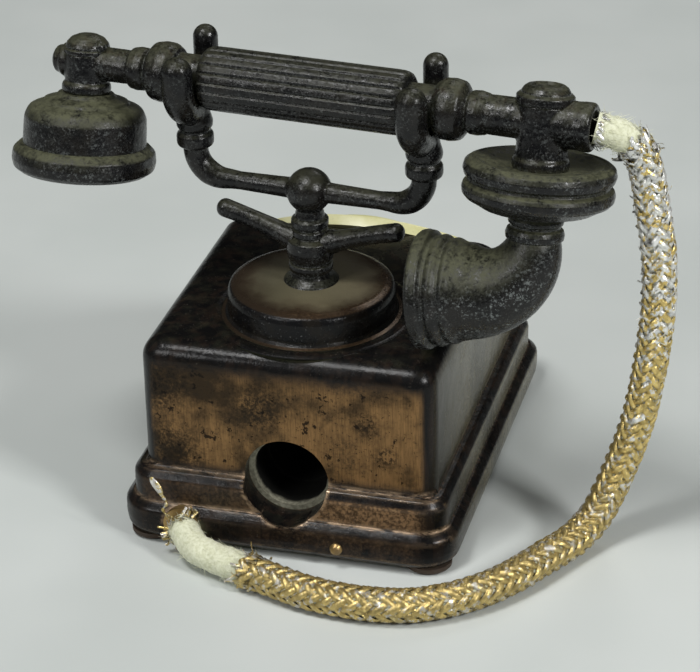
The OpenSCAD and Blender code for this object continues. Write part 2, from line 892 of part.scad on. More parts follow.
module fork(side) {
    color("#33291f")
    in_cradle()
        translate([side * fork_x, 0, 0])
            difference() {
                union() {
                    translate([0, 0, fork_base_z])
                        rounded_disc(fork_collar_r, fork_collar_top - fork_base_z, 0.3);
                    translate([0, 0, fork_base_z])
                        cylinder(r = fork_bar_r, h = fork_ring_top - fork_base_z);
                    translate([0, 0, fork_ring_z])
                        rounded_disc(fork_ring_r, fork_ring_top - fork_ring_z, 0.4);
                    translate([0, 0, fork_bend_z])
                        rotate([90, 0, 90])
                            rotate([0, 0, 180])
                                rotate_extrude(angle = 180)
                                    translate([fork_bend, 0])
                                        circle(r = fork_bar_r, $fn = smooth);
                    for (y = [-fork_bend, fork_bend])
                        translate([0, y, 0]) {
                            translate([0, 0, fork_bend_z])
                                cylinder(r = fork_bar_r, h = prong_top - fork_bar_r - fork_bend_z);
                            translate([0, 0, prong_top - fork_bar_r])
                                sphere(r = fork_bar_r);
                        }
                }
                translate([0, 0, fork_base_z - 1])
                    cylinder(r = fork_peg_r + spigot_gap, h = fork_peg_l + 1.1);
                translate([-3, 0, fork_bend_z])
                    along_x()
                        cylinder(r = saddle_r, h = 6);
            }
}

// ---------------------------------------------------------------- handset

module handset_core() {
    color("#5a5148")
    in_handset()
        translate([-core_half, 0, 0])
            along_x()
                cylinder(r = core_r, h = 2 * core_half);
}

module grip_shell() {
    end_round = 0.9;
    flute_r = 0.42;
    color("#2b2722")
    in_handset()
        along_x()
            translate([0, 0, -grip_half])
                difference() {
                    rounded_disc(grip_r, 2 * grip_half, end_round);
                    translate([0, 0, -1])
                        cylinder(r = core_r + core_gap, h = 2 * grip_half + 2);
                    for (i = [0:flute_count - 1])
                        rotate([0, 0, 360 * i / flute_count])
                            translate([grip_r + flute_r - flute_depth, 0, -1])
                                cylinder(r = flute_r, h = 2 * grip_half + 2, $fn = 16);
                }
}

// Turned stem between the grip's end and the hub at distance hub_x
module stem(side, hub_x) {
    color("#33291f")
    in_handset()
        rotate([0, 0, side])
            along_x()
                difference() {
                    union() {
                        translate([0, 0, grip_half + 0.01])
                            cylinder(r = neck_r, h = neck_end - grip_half + 0.5);
                        translate([0, 0, neck_end])
                            rounded_disc(bulb_r, bulb_l, 1.1);
                        translate([0, 0, bulb_end - 0.1])
                            rounded_disc(bead_r, bead_l + 0.1, 0.8);
                        translate([0, 0, bead_end - 0.5])
                            cylinder(r = tube_r, h = hub_x - bead_end + 0.5);
                    }
                    cylinder(r = core_r + core_gap, h = core_half + core_gap);
                }
}

// Turns a child about the handset's X so that it hangs below: +Z stays up
module at_ear() {
    in_handset()
        translate([ear_x, 0, 0])
            children();
}

module at_mouth() {
    in_handset()
        translate([mouth_x, 0, 0])
            children();
}

module earpiece_hub() {
    color("#33291f")
    at_ear()
        difference() {
            union() {
                translate([0, 0, ear_collar_z])
                    cylinder(r = ear_hub_r, h = ear_hub_top - ear_collar_z);
                translate([0, 0, ear_collar_z])
                    rounded_disc(ear_collar_r, 0.9, 0.3);
                translate([-3.1, 0, 0])
                    along_x()
                        cylinder(r = tube_r, h = 3.1 + ear_hub_r);
                translate([-3.5, 0, 0])
                    along_x()
                        cylinder(r = 1.2, h = 1);
            }
            translate([0, 0, ear_collar_z - 1])
                cylinder(r = ear_screw_r + spigot_gap, h = ear_hub_top - ear_collar_z + 2);
            translate([ear_hub_r - 0.01, 0, 0])
                along_x()
                    cylinder(r = tube_r + 1, h = 2);
            translate([0, 0, ear_hub_top])
                cylinder(r = dome_r + seat_play, h = 2);
        }
}

module earpiece_body() {
    color("#3a2c22")
    at_ear()
        difference() {
            union() {
                turned([
                    [0, ear_collar_z - 0.01], [ear_step_r - 0.3, ear_collar_z - 0.01],
                    [ear_step_r, ear_collar_z - 0.3], [ear_step_r, ear_step_z - 0.2],
                    [ear_r - 1.0, ear_step_z - 0.4], [ear_r - 0.3, ear_step_z - 0.8],
                    [ear_r, ear_step_z - 1.5], [ear_r, ear_body_z], [0, ear_body_z]
                ]);
            }
            translate([0, 0, ear_body_z - 1])
                cylinder(r = ear_r - ear_wall, h = ear_step_z - 0.4 - ear_wall - ear_body_z + 1);
            translate([0, 0, ear_body_z])
                cylinder(r = ear_screw_r, h = -ear_body_z);
        }
}

module earpiece_cap() {
    sound_holes = 6;
    color("#3a2c22")
    at_ear()
        translate([0, 0, ear_body_z - ear_cap_t])
            difference() {
                rounded_disc(ear_cap_r, ear_cap_t - 0.01, 1.3);
                translate([0, 0, -0.01])
                    cylinder(r1 = ear_r - 0.6, r2 = ear_r - 3, h = 1.4);
                for (i = [0:sound_holes - 1])
                    rotate([0, 0, 360 * i / sound_holes])
                        translate([2.2, 0, -1])
                            cylinder(r = 0.45, h = ear_cap_t + 2);
            }
}

module earpiece_screw() {
    color("#4a3a2a")
    at_ear()
        translate([0, 0, ear_hub_top]) {
            translate([0, 0, 0.01])
                rounded_disc(dome_r - 0.1, 0.7, 0.3);
            translate([0, 0, 0.6])
                rounded_disc(dome_r, 0.9, 0.4);
            translate([0, 0, 1.3])
                turned([[0, 0], [2.0, 0], [1.8, 0.5], [1.3, 0.9], [0.7, 1.1], [0, 1.2]]);
            translate([0, 0, -(ear_hub_top - ear_step_z) - 1.2])
                cylinder(r = ear_screw_r - 0.01, h = ear_hub_top - ear_step_z + 1.6);
        }
}

module mouth_hub() {
    color("#33291f")
    at_mouth()
        difference() {
            union() {
                translate([0, 0, capsule_top_z])
                    cylinder(r = mouth_hub_r, h = nut_base_z - capsule_top_z);
                along_x()
                    cylinder(r = tail_r, h = tail_end - mouth_x);
            }
            translate([0, 0, capsule_top_z - 1])
                cylinder(r = nut_stud_r + spigot_gap, h = nut_base_z - capsule_top_z + 2);
            translate([-mouth_hub_r + 0.01, 0, 0])
                rotate([0, -90, 0])
                    cylinder(r = tube_r + 1, h = 2);
            translate([0, 0, nut_base_z])
                cylinder(r = nut_r + seat_play, h = 2);
        }
}

module dome_nut() {
    color("#4a3a2a")
    at_mouth()
        translate([0, 0, nut_base_z])
            difference() {
                union() {
                    translate([0, 0, 0.01])
                        rounded_disc(nut_r, 1.0, 0.4);
                    translate([0, 0, 0.9])
                        turned([[0, 0], [2.6, 0], [2.35, 0.5], [1.8, 0.85], [1.4, 0.95], [0, 0.95]]);
                    translate([0, 0, -(nut_base_z - capsule_top_z) - 1.0])
                        cylinder(r = nut_stud_r - 0.01, h = nut_base_z - capsule_top_z + 1.5);
                }
                translate([0, 0, 1.5])
                    cylinder(r1 = 0.7, r2 = 1.3, h = 0.5);
            }
}

module mouth_capsule() {
    color("#3a2c22")
    at_mouth()
        difference() {
            union() {
                translate([0, 0, capsule_top_z - capsule_rim_t])
                    rounded_disc(capsule_r, capsule_rim_t, rim_round);
                translate([0, 0, capsule_low_z + 1])
                    cylinder(r = capsule_groove_r, h = capsule_top_z - capsule_low_z - 1.5);
                translate([0, 0, capsule_low_z])
                    rounded_disc(capsule_r, capsule_rim_t, rim_round);
                turned([
                    [0, capsule_low_z + 1], [capsule_groove_r - 0.2, capsule_low_z + 1],
                    [capsule_groove_r - 0.3, capsule_low_z - 0.2], [cone_mid_r, (capsule_low_z + capsule_cone_z) / 2 - 0.15],
                    [elbow_collar_r + 0.3, capsule_cone_z], [0, capsule_cone_z]
                ]);
                translate([0, 0, capsule_cone_z - elbow_ring_t + 0.2])
                    rounded_disc(elbow_collar_r, elbow_ring_t, ring_round);
                translate([0, 0, elbow_top_z])
                    rounded_disc(elbow_collar_r, elbow_ring_t, ring_round);
                translate([0, 0, elbow_top_z])
                    cylinder(r = elbow_collar_r - ring_round, h = capsule_cone_z - elbow_top_z + 0.3);
            }
            translate([0, 0, capsule_top_z - dish_depth])
                cylinder(r = dish_r, h = 2);
            translate([0, 0, capsule_top_z - 2.5])
                cylinder(r = nut_stud_r, h = 3);
        }
    color("#3a2c22")
    at_mouth()
        translate([0, 0, capsule_top_z - dish_depth - 0.05])
            difference() {
                cylinder(r = mouth_hub_r, h = dish_depth + 0.04);
                translate([0, 0, -1])
                    cylinder(r = nut_stud_r, h = 3);
            }
}

// Middle line of the horn: a bend in the plane of the handset's axis, then a straight run
horn_steps = 12;
horn_arc = [for (i = [0:horn_steps]) horn_angle * i / horn_steps];
function horn_dir(a) = [-sin(a), 0, -cos(a)];
function horn_place(a) = [-horn_bend * (1 - cos(a)), 0, -horn_bend * sin(a)];
horn_out = horn_dir(horn_angle);
horn_stops = [1.5, 3, 4.5, horn_straight];
horn_places = concat([for (a = horn_arc) horn_place(a)],
    [for (s = horn_stops) horn_place(horn_angle) + s * horn_out]);
horn_dirs = concat([for (a = horn_arc) horn_dir(a)], [for (s = horn_stops) horn_out]);
horn_length = horn_bend * horn_angle * PI / 180 + horn_straight;
horn_travel = concat([for (a = horn_arc) horn_bend * a * PI / 180],
    [for (s = horn_stops) horn_bend * horn_angle * PI / 180 + s]);
function horn_radius(s) = horn_start_r + (horn_end_r - horn_start_r) * pow(s / horn_length, 1.1);

module at_horn() {
    at_mouth()
        translate([0, 0, elbow_top_z - 0.01])
            children();
}

// The horn's skin runs along its outside to the mouth and back along its inside
module mouth_horn() {
    last = len(horn_places) - 1;
    there = [for (i = [0:last]) i];
    back = [for (i = [last:-1:1]) i];
    walk = concat(there, back);
    color("#33291f")
    at_horn()
        swept([for (i = walk) horn_places[i]], [for (i = walk) horn_dirs[i]],
            concat([for (i = there) horn_radius(horn_travel[i])],
                [for (i = back) horn_radius(horn_travel[i]) - horn_wall]),
            [0, 1, 0], smooth);
}

// Places a child at the horn's mouth with +Z running out of it
module at_horn_mouth() {
    at_horn()
        translate(horn_places[len(horn_places) - 1])
            rotate([0, -180 + horn_angle, 0])
                children();
}

module horn_rim() {
    rim_t = 1.2;
    color("#33291f")
    at_horn_mouth()
        translate([0, 0, 0.01])
            difference() {
                rounded_disc(horn_rim_r, rim_t, 0.5);
                translate([0, 0, -1])
                    cylinder(r = horn_end_r - horn_wall, h = rim_t + 2);
            }
}

// ---------------------------------------------------------------- cord

module cord() {
    last = len(cord_route) - 1;
    color("#b8a05a")
    swept(cord_route,
        [for (i = [0:last]) route_direction(cord_route, i, tail_out, [0, 1, 0])],
        [for (i = [0:last]) cord_d / 2], [0, 0, 1], cord_sides);
}

base_housing();
bottom_plate();
plate_screw(-1);  // plate_screw_left
plate_screw(1);  // plate_screw_right
foot(-1, -1);  // foot_front_left
foot(1, -1);  // foot_front_right
foot(-1, 1);  // foot_rear_left
foot(1, 1);  // foot_rear_right
plinth_rivet();
sharpener_block();
sharpener_blade();
blade_screw();
cord_ferrule();
dial_plate();
finger_wheel();
dial_spindle();
finger_stop();
turret_drum();
post_screw();
cradle_post();
hook_arm(180);  // hook_arm_left
hook_arm(0);  // hook_arm_right
cradle_yoke();
fork(-1);  // fork_left
fork(1);  // fork_right
handset_core();
grip_shell();
stem(180, -ear_x - ear_hub_r);  // stem_left
stem(0, mouth_x - mouth_hub_r);  // stem_right
earpiece_hub();
earpiece_body();
earpiece_cap();
earpiece_screw();
mouth_hub();
dome_nut();
mouth_capsule();
mouth_horn();
horn_rim();
cord();
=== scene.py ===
"""Miniature antique telephone pencil sharpener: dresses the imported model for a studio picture.

Lengths are in millimetres in the object's frame, and become metres where a mesh is made.
"""

import random
from bisect import bisect_right
from math import asin, atan2, copysign, cos, exp, hypot, pi, radians, sin, sqrt, tan, tau

import bmesh
import bpy
from mathutils import Matrix, Vector, noise


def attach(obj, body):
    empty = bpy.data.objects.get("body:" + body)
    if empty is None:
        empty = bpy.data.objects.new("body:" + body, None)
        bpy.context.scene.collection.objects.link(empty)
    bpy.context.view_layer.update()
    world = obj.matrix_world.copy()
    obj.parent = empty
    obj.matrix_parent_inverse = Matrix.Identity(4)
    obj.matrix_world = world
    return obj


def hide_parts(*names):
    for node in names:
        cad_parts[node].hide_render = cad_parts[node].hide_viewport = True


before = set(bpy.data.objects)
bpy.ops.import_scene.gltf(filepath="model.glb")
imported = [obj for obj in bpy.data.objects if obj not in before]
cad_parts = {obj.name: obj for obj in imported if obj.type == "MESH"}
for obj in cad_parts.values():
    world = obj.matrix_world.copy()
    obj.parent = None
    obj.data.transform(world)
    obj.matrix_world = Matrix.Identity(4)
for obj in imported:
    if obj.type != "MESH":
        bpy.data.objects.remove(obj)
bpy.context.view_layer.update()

MM = 0.001
FLOOR_GAP = 0.01
X, Y, Z = Vector((1, 0, 0)), Vector((0, 1, 0)), Vector((0, 0, 1))

# ---- places, as the CAD source has them
TURRET_Y = -10.75
CRADLE_YAW = radians(-5.5)
HANDSET_ROLL = radians(12.5)
HANDSET_Z = 50
EAR_X, MOUTH_X = -25.5, 26.1
RIDGE_Y, DECK_Z = 9.95, 23.9
BODY_HALF_X, BODY_HALF_Y, BODY_FROM_Z = 16.5, 22.45, 8.9
SLOPE_RISE, SLOPE_RUN = 15, 12.5
SLOPE = atan2(SLOPE_RISE, SLOPE_RUN)
DIAL_MID = hypot(SLOPE_RISE, SLOPE_RUN) / 2 + 0.3


def moved(x, y, z):
    return Matrix.Translation((x, y, z))


def spun(angle, axis):
    return Matrix.Rotation(angle, 4, axis)


in_cradle = moved(0, TURRET_Y, 0) @ spun(CRADLE_YAW, "Z")
in_handset = in_cradle @ moved(0, 0, HANDSET_Z) @ spun(-HANDSET_ROLL, "X")
at_ear = in_handset @ moved(EAR_X, 0, 0)
at_mouth = in_handset @ moved(MOUTH_X, 0, 0)
on_slope = moved(0, RIDGE_Y, DECK_Z) @ spun(-SLOPE, "X")
along_x = spun(radians(90), "Y")

# ---- camera
CAMERA_AZIMUTH, CAMERA_ELEVATION, CAMERA_ROLL = (radians(a) for a in (15.46, 28.06, -1.09))
CAMERA_DISTANCE, CAMERA_LENS = 304.39, 140.4
CAMERA_TARGET = Vector((3.33, -7.45, 19.32))


def link(obj):
    bpy.context.collection.objects.link(obj)
    return obj


def add_camera():
    az, el = CAMERA_AZIMUTH, CAMERA_ELEVATION
    look = Vector((-sin(az) * cos(el), cos(az) * cos(el), -sin(el)))
    flat_right = Vector((cos(az), sin(az), 0))
    flat_up = flat_right.cross(look)
    right = flat_right * cos(CAMERA_ROLL) + flat_up * sin(CAMERA_ROLL)
    up = flat_up * cos(CAMERA_ROLL) - flat_right * sin(CAMERA_ROLL)
    data = bpy.data.cameras.new("camera")
    data.lens, data.sensor_width, data.sensor_fit = CAMERA_LENS, 36, "HORIZONTAL"
    data.clip_start, data.clip_end = 0.01, 10
    obj = bpy.data.objects.new("camera", data)
    turn = Matrix((right, up, -look)).transposed().to_4x4()
    obj.matrix_world = Matrix.Translation((CAMERA_TARGET - look * CAMERA_DISTANCE) * MM) @ turn
    bpy.context.scene.camera = link(obj)


add_camera()


# ---- mesh helpers
class Shape:
    """Vertices in mm and faces, before they become an object."""

    def __init__(self, verts=(), faces=()):
        self.verts, self.faces = [Vector(v) for v in verts], [tuple(f) for f in faces]

    def __add__(self, other):
        n = len(self.verts)
        return Shape(self.verts + other.verts, self.faces + [tuple(i + n for i in f) for f in other.faces])

    def at(self, matrix):
        return Shape([matrix @ v for v in self.verts], self.faces)


def polar(angle, radius=1, z=0):
    """The point at this angle and distance from the Z axis."""
    return Vector((radius * cos(angle), radius * sin(angle), z))


def full_turn(steps):
    """The angles of so many equal steps round a circle."""
    return [tau * i / steps for i in range(steps)]


def loft(rings, cap_start=True):
    """Closed rings of the same count joined one after another, and closed at the last."""
    n = len(rings[0])
    faces = []
    for j in range(len(rings) - 1):
        for i in range(n):
            k = (i + 1) % n
            faces.append((j * n + i, j * n + k, (j + 1) * n + k, (j + 1) * n + i))
    if cap_start:
        faces.append(tuple(range(n - 1, -1, -1)))
    faces.append(tuple(range((len(rings) - 1) * n, len(rings) * n)))
    return Shape([v for ring in rings for v in ring], faces)


def soften(profile, default=0.2, steps=4):
    """The profile with each inner corner rounded; a third number in a point is its own radius."""
    out = []
    for i, p in enumerate(profile):
        here = Vector(p[:2])
        radius = p[2] if len(p) > 2 else default
        if i in (0, len(profile) - 1) or radius <= 0:
            out.append(here)
            continue
        a, b = Vector(profile[i - 1][:2]) - here, Vector(profile[i + 1][:2]) - here
        if a.length < 1e-6 or b.length < 1e-6:
            continue
        angle = a.angle(b)
        if angle > 3.1:
            out.append(here)
            continue
        reach = min(radius / tan(angle / 2), a.length * 0.48, b.length * 0.48)
        start, end = here + a.normalized() * reach, here + b.normalized() * reach
        for k in range(steps + 1):
            t = k / steps
            out.append(start * (1 - t) ** 2 + here * 2 * t * (1 - t) + end * t * t)
    return out


def lathe(profile, default=0.2, segments=96):
    """The profile of (radius, height) points turned about Z, from the bottom or the inside outward."""
    points = soften(profile, default)
    return loft([[polar(a, max(r, 0.002), h) for a in full_turn(segments)] for r, h in points])


def smooth_path(points, per=8):
    """A Catmull-Rom curve through the points."""
    p = [Vector(q) for q in points]
    p = [p[0] * 2 - p[1]] + p + [p[-1] * 2 - p[-2]]
    out = []
    for i in range(1, len(p) - 2):
        for k in range(per):
            t = k / per
            a, b, c, d = p[i - 1], p[i], p[i + 1], p[i + 2]
            square, cube = 2 * a - 5 * b + 4 * c - d, 3 * b - a - 3 * c + d
            out.append(0.5 * (2 * b + (c - a) * t + square * t * t + cube * t ** 3))
    return out + [p[-2]]


def frames_along(path, side=Z):
    """A direction, a side and a third axis at each point, carried along without twist."""
    out = []
    for i in range(len(path)):
        t = (path[min(i + 1, len(path) - 1)] - path[max(i - 1, 0)]).normalized()
        side = (side - t * side.dot(t)).normalized()
        out.append((t, side, t.cross(side)))
    return out


def ring_round(centre, u, v, radius, sides):
    return [centre + (u * cos(a) + v * sin(a)) * radius for a in full_turn(sides)]


def sweep(path, radii, sides=24, side=Z, wide=1):
    """A tube with its own radius at each point, wide times as wide across its side."""
    axes = frames_along(path, side)
    return loft([ring_round(p, u, v * wide, r, sides) for p, r, (_t, u, v) in zip(path, radii, axes)])


def along(path):
    """Travelled length at each point."""
    out = [0]
    for a, b in zip(path, path[1:]):
        out.append(out[-1] + (b - a).length)
    return out


def quarter(steps):
    """Angles from 0 to a right angle."""
    return [pi / 2 * k / steps for k in range(steps + 1)]


def rounded_end(length, r, end_round, steps=6):
    """Stations and radii of a rod whose end is rounded off."""
    e = end_round
    return [(length - e + e * sin(a), r - e + e * cos(a)) for a in quarter(steps)]


def on_floor(shape):
    """The shape with nothing under the floor: soft threads flatten where they lie on it."""
    for v in shape.verts:
        v.z = max(v.z, FLOOR_GAP)
    return shape


def raw_object(name, shape):
    mesh = bpy.data.meshes.new(name)
    mesh.from_pydata([v * MM for v in shape.verts], [], shape.faces)
    mesh.validate()
    mesh.update()
    return link(bpy.data.objects.new(name, mesh))


def applied(obj):
    """The object with its modifiers applied."""
    graph = bpy.context.evaluated_depsgraph_get()
    mesh = bpy.data.meshes.new_from_object(obj.evaluated_get(graph))
    old = obj.data
    obj.modifiers.clear()
    obj.data = mesh
    bpy.data.meshes.remove(old)
    return obj


def fused(obj, voxel, relax):
    """Overlapping closed forms cast into one skin with soft inner corners."""
    remesh = obj.modifiers.new("fuse", "REMESH")
    remesh.mode, remesh.voxel_size, remesh.use_smooth_shade = "VOXEL", voxel * MM, True
    smooth = obj.modifiers.new("relax", "SMOOTH")
    smooth.factor, smooth.iterations = 0.5, relax
    return applied(obj)


def cut(obj, *shapes):
    """The object less these shapes."""
    for shape in shapes:
        cutter = raw_object("cutter", shape)
        tool = obj.modifiers.new("cut", "BOOLEAN")
        tool.operation, tool.solver, tool.object = "DIFFERENCE", "EXACT", cutter
        applied(obj)
        bpy.data.objects.remove(cutter)
    return obj


def finish_piece(obj, material, body, slot, *nodes, sharp=35):
    obj.data.shade_smooth()
    obj.data.set_sharp_from_angle(angle=radians(sharp))
    obj.data.materials.clear()
    for m in material if isinstance(material, (list, tuple)) else [material]:
        obj.data.materials.append(m)
    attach(obj, body)
    if nodes:
        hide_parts(*nodes)
    return obj


def piece(name, shape, material, body, slot, *nodes, sharp=35, fuse=None, cuts=()):
    """A finished object from a shape: cut, or cast into one skin, then given to its body."""
    obj = cut(raw_object(name, shape), *cuts)
    if fuse:
        fused(obj, *fuse)
    return finish_piece(obj, material, body, slot, *nodes, sharp=sharp)


def metal(name, shape, material, body, *nodes, **more):
    return piece(name, shape, material, body, "dark_metal", *nodes, **more)


# ---- materials
class Value:
    """A number in a node tree, which adds, subtracts and multiplies like a plain one."""

    def __init__(self, nodes, socket):
        self.nodes, self.socket = nodes, socket

    def __add__(self, other):
        return self.nodes.math("ADD", self, other)

    def __sub__(self, other):
        return self.nodes.math("SUBTRACT", self, other)

    def __rsub__(self, other):
        return self.nodes.math("SUBTRACT", other, self)

    def __mul__(self, other):
        return self.nodes.math("MULTIPLY", self, other)


class Nodes:
    """A short way to write a node tree, with places and sizes in mm."""

    def __init__(self, owner):
        owner.use_nodes = True
        self.owner, self.tree = owner, owner.node_tree
        self.tree.nodes.clear()
        self.place = self.add("TexCoord").outputs
        scaled = {0: self.place["Object"], "Scale": 1 / MM}
        self.mm = self.add("VectorMath", scaled, operation="SCALE").outputs[0]

    def add(self, kind, inputs=(), **props):
        """A shader node of this kind with these properties, and these inputs set or linked."""
        node = self.tree.nodes.new("ShaderNode" + kind)
        for key, value in props.items():
            setattr(node, key, value)
        for key, value in dict(inputs).items():
            self.put(node.inputs[key], value)
        return node

    def put(self, socket, value):
        if isinstance(value, Value):
            value = value.socket
        if isinstance(value, bpy.types.NodeSocket):
            self.tree.links.new(value, socket)
        elif isinstance(value, (tuple, list)) and len(value) == 3 and socket.type == "RGBA":
            socket.default_value = (*value, 1)
        else:
            socket.default_value = value

    def math(self, operation, a, b=0):
        return Value(self, self.add("Math", {0: a, 1: b}, operation=operation).outputs[0])

    def max(self, a, b):
        return self.math("MAXIMUM", a, b)

    def clip(self, value):
        """The value kept between 0 and 1 by the node that makes it."""
        value.socket.node.use_clamp = True
        return value

    def ramp(self, value, low, high):
        """0 at low to 1 at high, smoothly."""
        inputs = {"Value": value, "From Min": low, "From Max": high}
        node = self.add("MapRange", inputs, interpolation_type="SMOOTHSTEP")
        return Value(self, node.outputs[0])

    def shifted(self, seed, stretch=(1, 1, 1)):
        """The place in mm, moved by the seed so that no two patterns agree."""
        inputs = {"Vector": self.mm, "Scale": stretch, "Location": (seed, seed * 0.7, seed * 1.3)}
        return self.add("Mapping", inputs).outputs[0]

    def noise(self, size, detail=3, rough=0.55, stretch=(1, 1, 1), seed=0):
        """Noise whose blotches are about size mm across."""
        place = self.shifted(seed, stretch)
        inputs = {"Vector": place, "Scale": 1 / size, "Detail": detail, "Roughness": rough}
        return Value(self, self.add("TexNoise", inputs).outputs["Fac"])

    def mix(self, factor, a, b):
        return self.add("Mix", {0: factor, 6: a, 7: b}, data_type="RGBA").outputs[2]

    def blend(self, factor, a, b):
        return Value(self, self.add("Mix", {0: factor, 2: a, 3: b}, data_type="FLOAT").outputs[0])

    def axis(self, vector, which):
        return Value(self, self.add("SeparateXYZ", {0: vector}).outputs[which])

    def normal(self, which):
        return self.axis(self.add("NewGeometry").outputs["Normal"], which)

    def position(self, which):
        return self.axis(self.mm, which)

    def edge(self, radius):
        """1 on worn outer edges, which on the housing's plinth bands also carry a painted highlight; 0 on
        flat faces.
        """
        rounded = self.add("Bevel", {"Radius": radius * MM}, samples=4).outputs[0]
        flat = self.add("NewGeometry").outputs["Normal"]
        dot = self.add("VectorMath", {0: rounded, 1: flat}, operation="DOT_PRODUCT")
        return self.ramp(dot.outputs["Value"], 0.995, 0.93)

    def crease(self, distance):
        """1 deep in a corner, 0 in the open."""
        shade = self.add("AmbientOcclusion", {"Distance": distance * MM}, samples=6)
        return 1 - Value(self, shade.outputs["AO"])

    def cells(self, size, seed=None):
        """Cells about size mm across: how far off a cell's middle is, and a number for each cell."""
        place = self.mm if seed is None else self.shifted(seed)
        cell = self.add("TexVoronoi", {"Vector": place, "Scale": 1 / size})
        return Value(self, cell.outputs["Distance"]), self.axis(cell.outputs["Color"], 0)

    def dots(self, size, seed):
        """Round dots of mixed sizes: 1 inside, 0 between."""
        away, number = self.cells(size, seed)
        return self.ramp(away - number * 0.34, 0.06, -0.06)

    def blob(self, centre, radius):
        """1 in the middle of a soft patch round a place in mm, 0 past its radius."""
        away = self.add("VectorMath", {0: self.mm, 1: centre}, operation="DISTANCE")
        return self.ramp(away.outputs["Value"], radius, radius * 0.25)

    def finish(self, colour, roughness, metallic, bump, depth, strength, sheen=0, specular=0.5):
        relief = self.add("Bump", {"Distance": depth * MM, "Strength": strength, "Height": bump})
        shader = self.add("BsdfPrincipled", {
            "Base Color": colour, "Roughness": roughness, "Metallic": metallic, "Normal": relief.outputs[0],
            "Specular IOR Level": specular, "Sheen Weight": sheen,
        })
        self.add("OutputMaterial", {0: shader.outputs[0]})
        return self.owner


def new_material(name):
    return Nodes(bpy.data.materials.new(name))


OLIVE = (0.093, 0.095, 0.053)
PALE_WEAR = (0.24, 0.25, 0.24)
BLACK, BROWN_BLACK = (0.0035, 0.0035, 0.004), (0.009, 0.008, 0.007)


def blackened(name, dust, wear, gloss, glint_spots, copper=0, dark=BLACK, brown=BROWN_BLACK):
    """Blackened casting: near-black grained skin with pale flecks, painted glints in pale clusters on its
    sides, and dust on tops and in creases.
    """
    n = new_material(name)
    patch = n.noise(2.6, 4, seed=3.1)
    grain = n.noise(0.24, 3, 0.65, seed=7)
    mottle = n.noise(0.75, 4, 0.65, seed=12) * 0.6 + grain * 0.4
    up = n.ramp(n.normal(2), 0.18, 0.92)
    edge = n.edge(0.3)
    colour = n.mix(n.ramp(patch, 0.4, 0.66), dark, brown)
    if copper:
        rub = n.ramp(n.noise(1.1, 4, 0.7, seed=1.7), 0.52, 0.62) * (up * copper)
        colour = n.mix(rub, colour, (0.12, 0.07, 0.045))
    fleck = n.ramp(grain, 0.56, 0.68) * n.ramp(n.noise(1.2, 3, 0.6, seed=9), 0.42, 0.64)
    pale_edge = edge * n.ramp(grain, 0.46, 0.6)
    speck = n.clip(n.max(fleck * 0.7, pale_edge) * wear)
    colour = n.mix(speck, colour, PALE_WEAR)
    # pale clusters on side-facing surfaces: painted glints
    painted_glint_cluster = n.max(n.dots(0.5, 14) * 0.7, n.ramp(n.noise(0.36, 3, 0.7, seed=16), 0.53, 0.64))
    painted_glint_cluster = painted_glint_cluster * n.ramp(n.noise(2.2, 3, 0.6, seed=15), 0.42, 0.6)
    side = n.ramp(n.normal(2), 0.7, 0) * n.ramp(n.normal(2), -0.99, -0.6)
    colour = n.mix(painted_glint_cluster * (side * glint_spots), colour, (0.165, 0.18, 0.175))
    settled = up * n.ramp(mottle + n.ramp(patch, 0.3, 0.7) * 0.1, 0.32, 0.68)
    packed = n.ramp(n.crease(1.3), 0.28, 0.75) * n.ramp(mottle, 0.34, 0.6)
    cover = n.clip(n.max(settled, packed * 0.8) * dust)
    colour = n.mix(cover, colour, OLIVE)
    rough = n.blend(cover, n.blend(n.ramp(grain, 0.4, 0.7), gloss, gloss + 0.22), 0.85)
    height = grain * 0.22 + n.noise(1, 3, 0.5, seed=5) * 1.2
    return n.finish(colour, rough, speck * 0.6, height, 0.09, 1, specular=0.32)


# marks on the pencil face: across, height and radius
SCORCHES = ((-14.5, 19.5, 6), (-13.5, 10.5, 6.5), (-3, 17.5, 4), (9, 17, 2.2), (11.2, 13.2, 2))


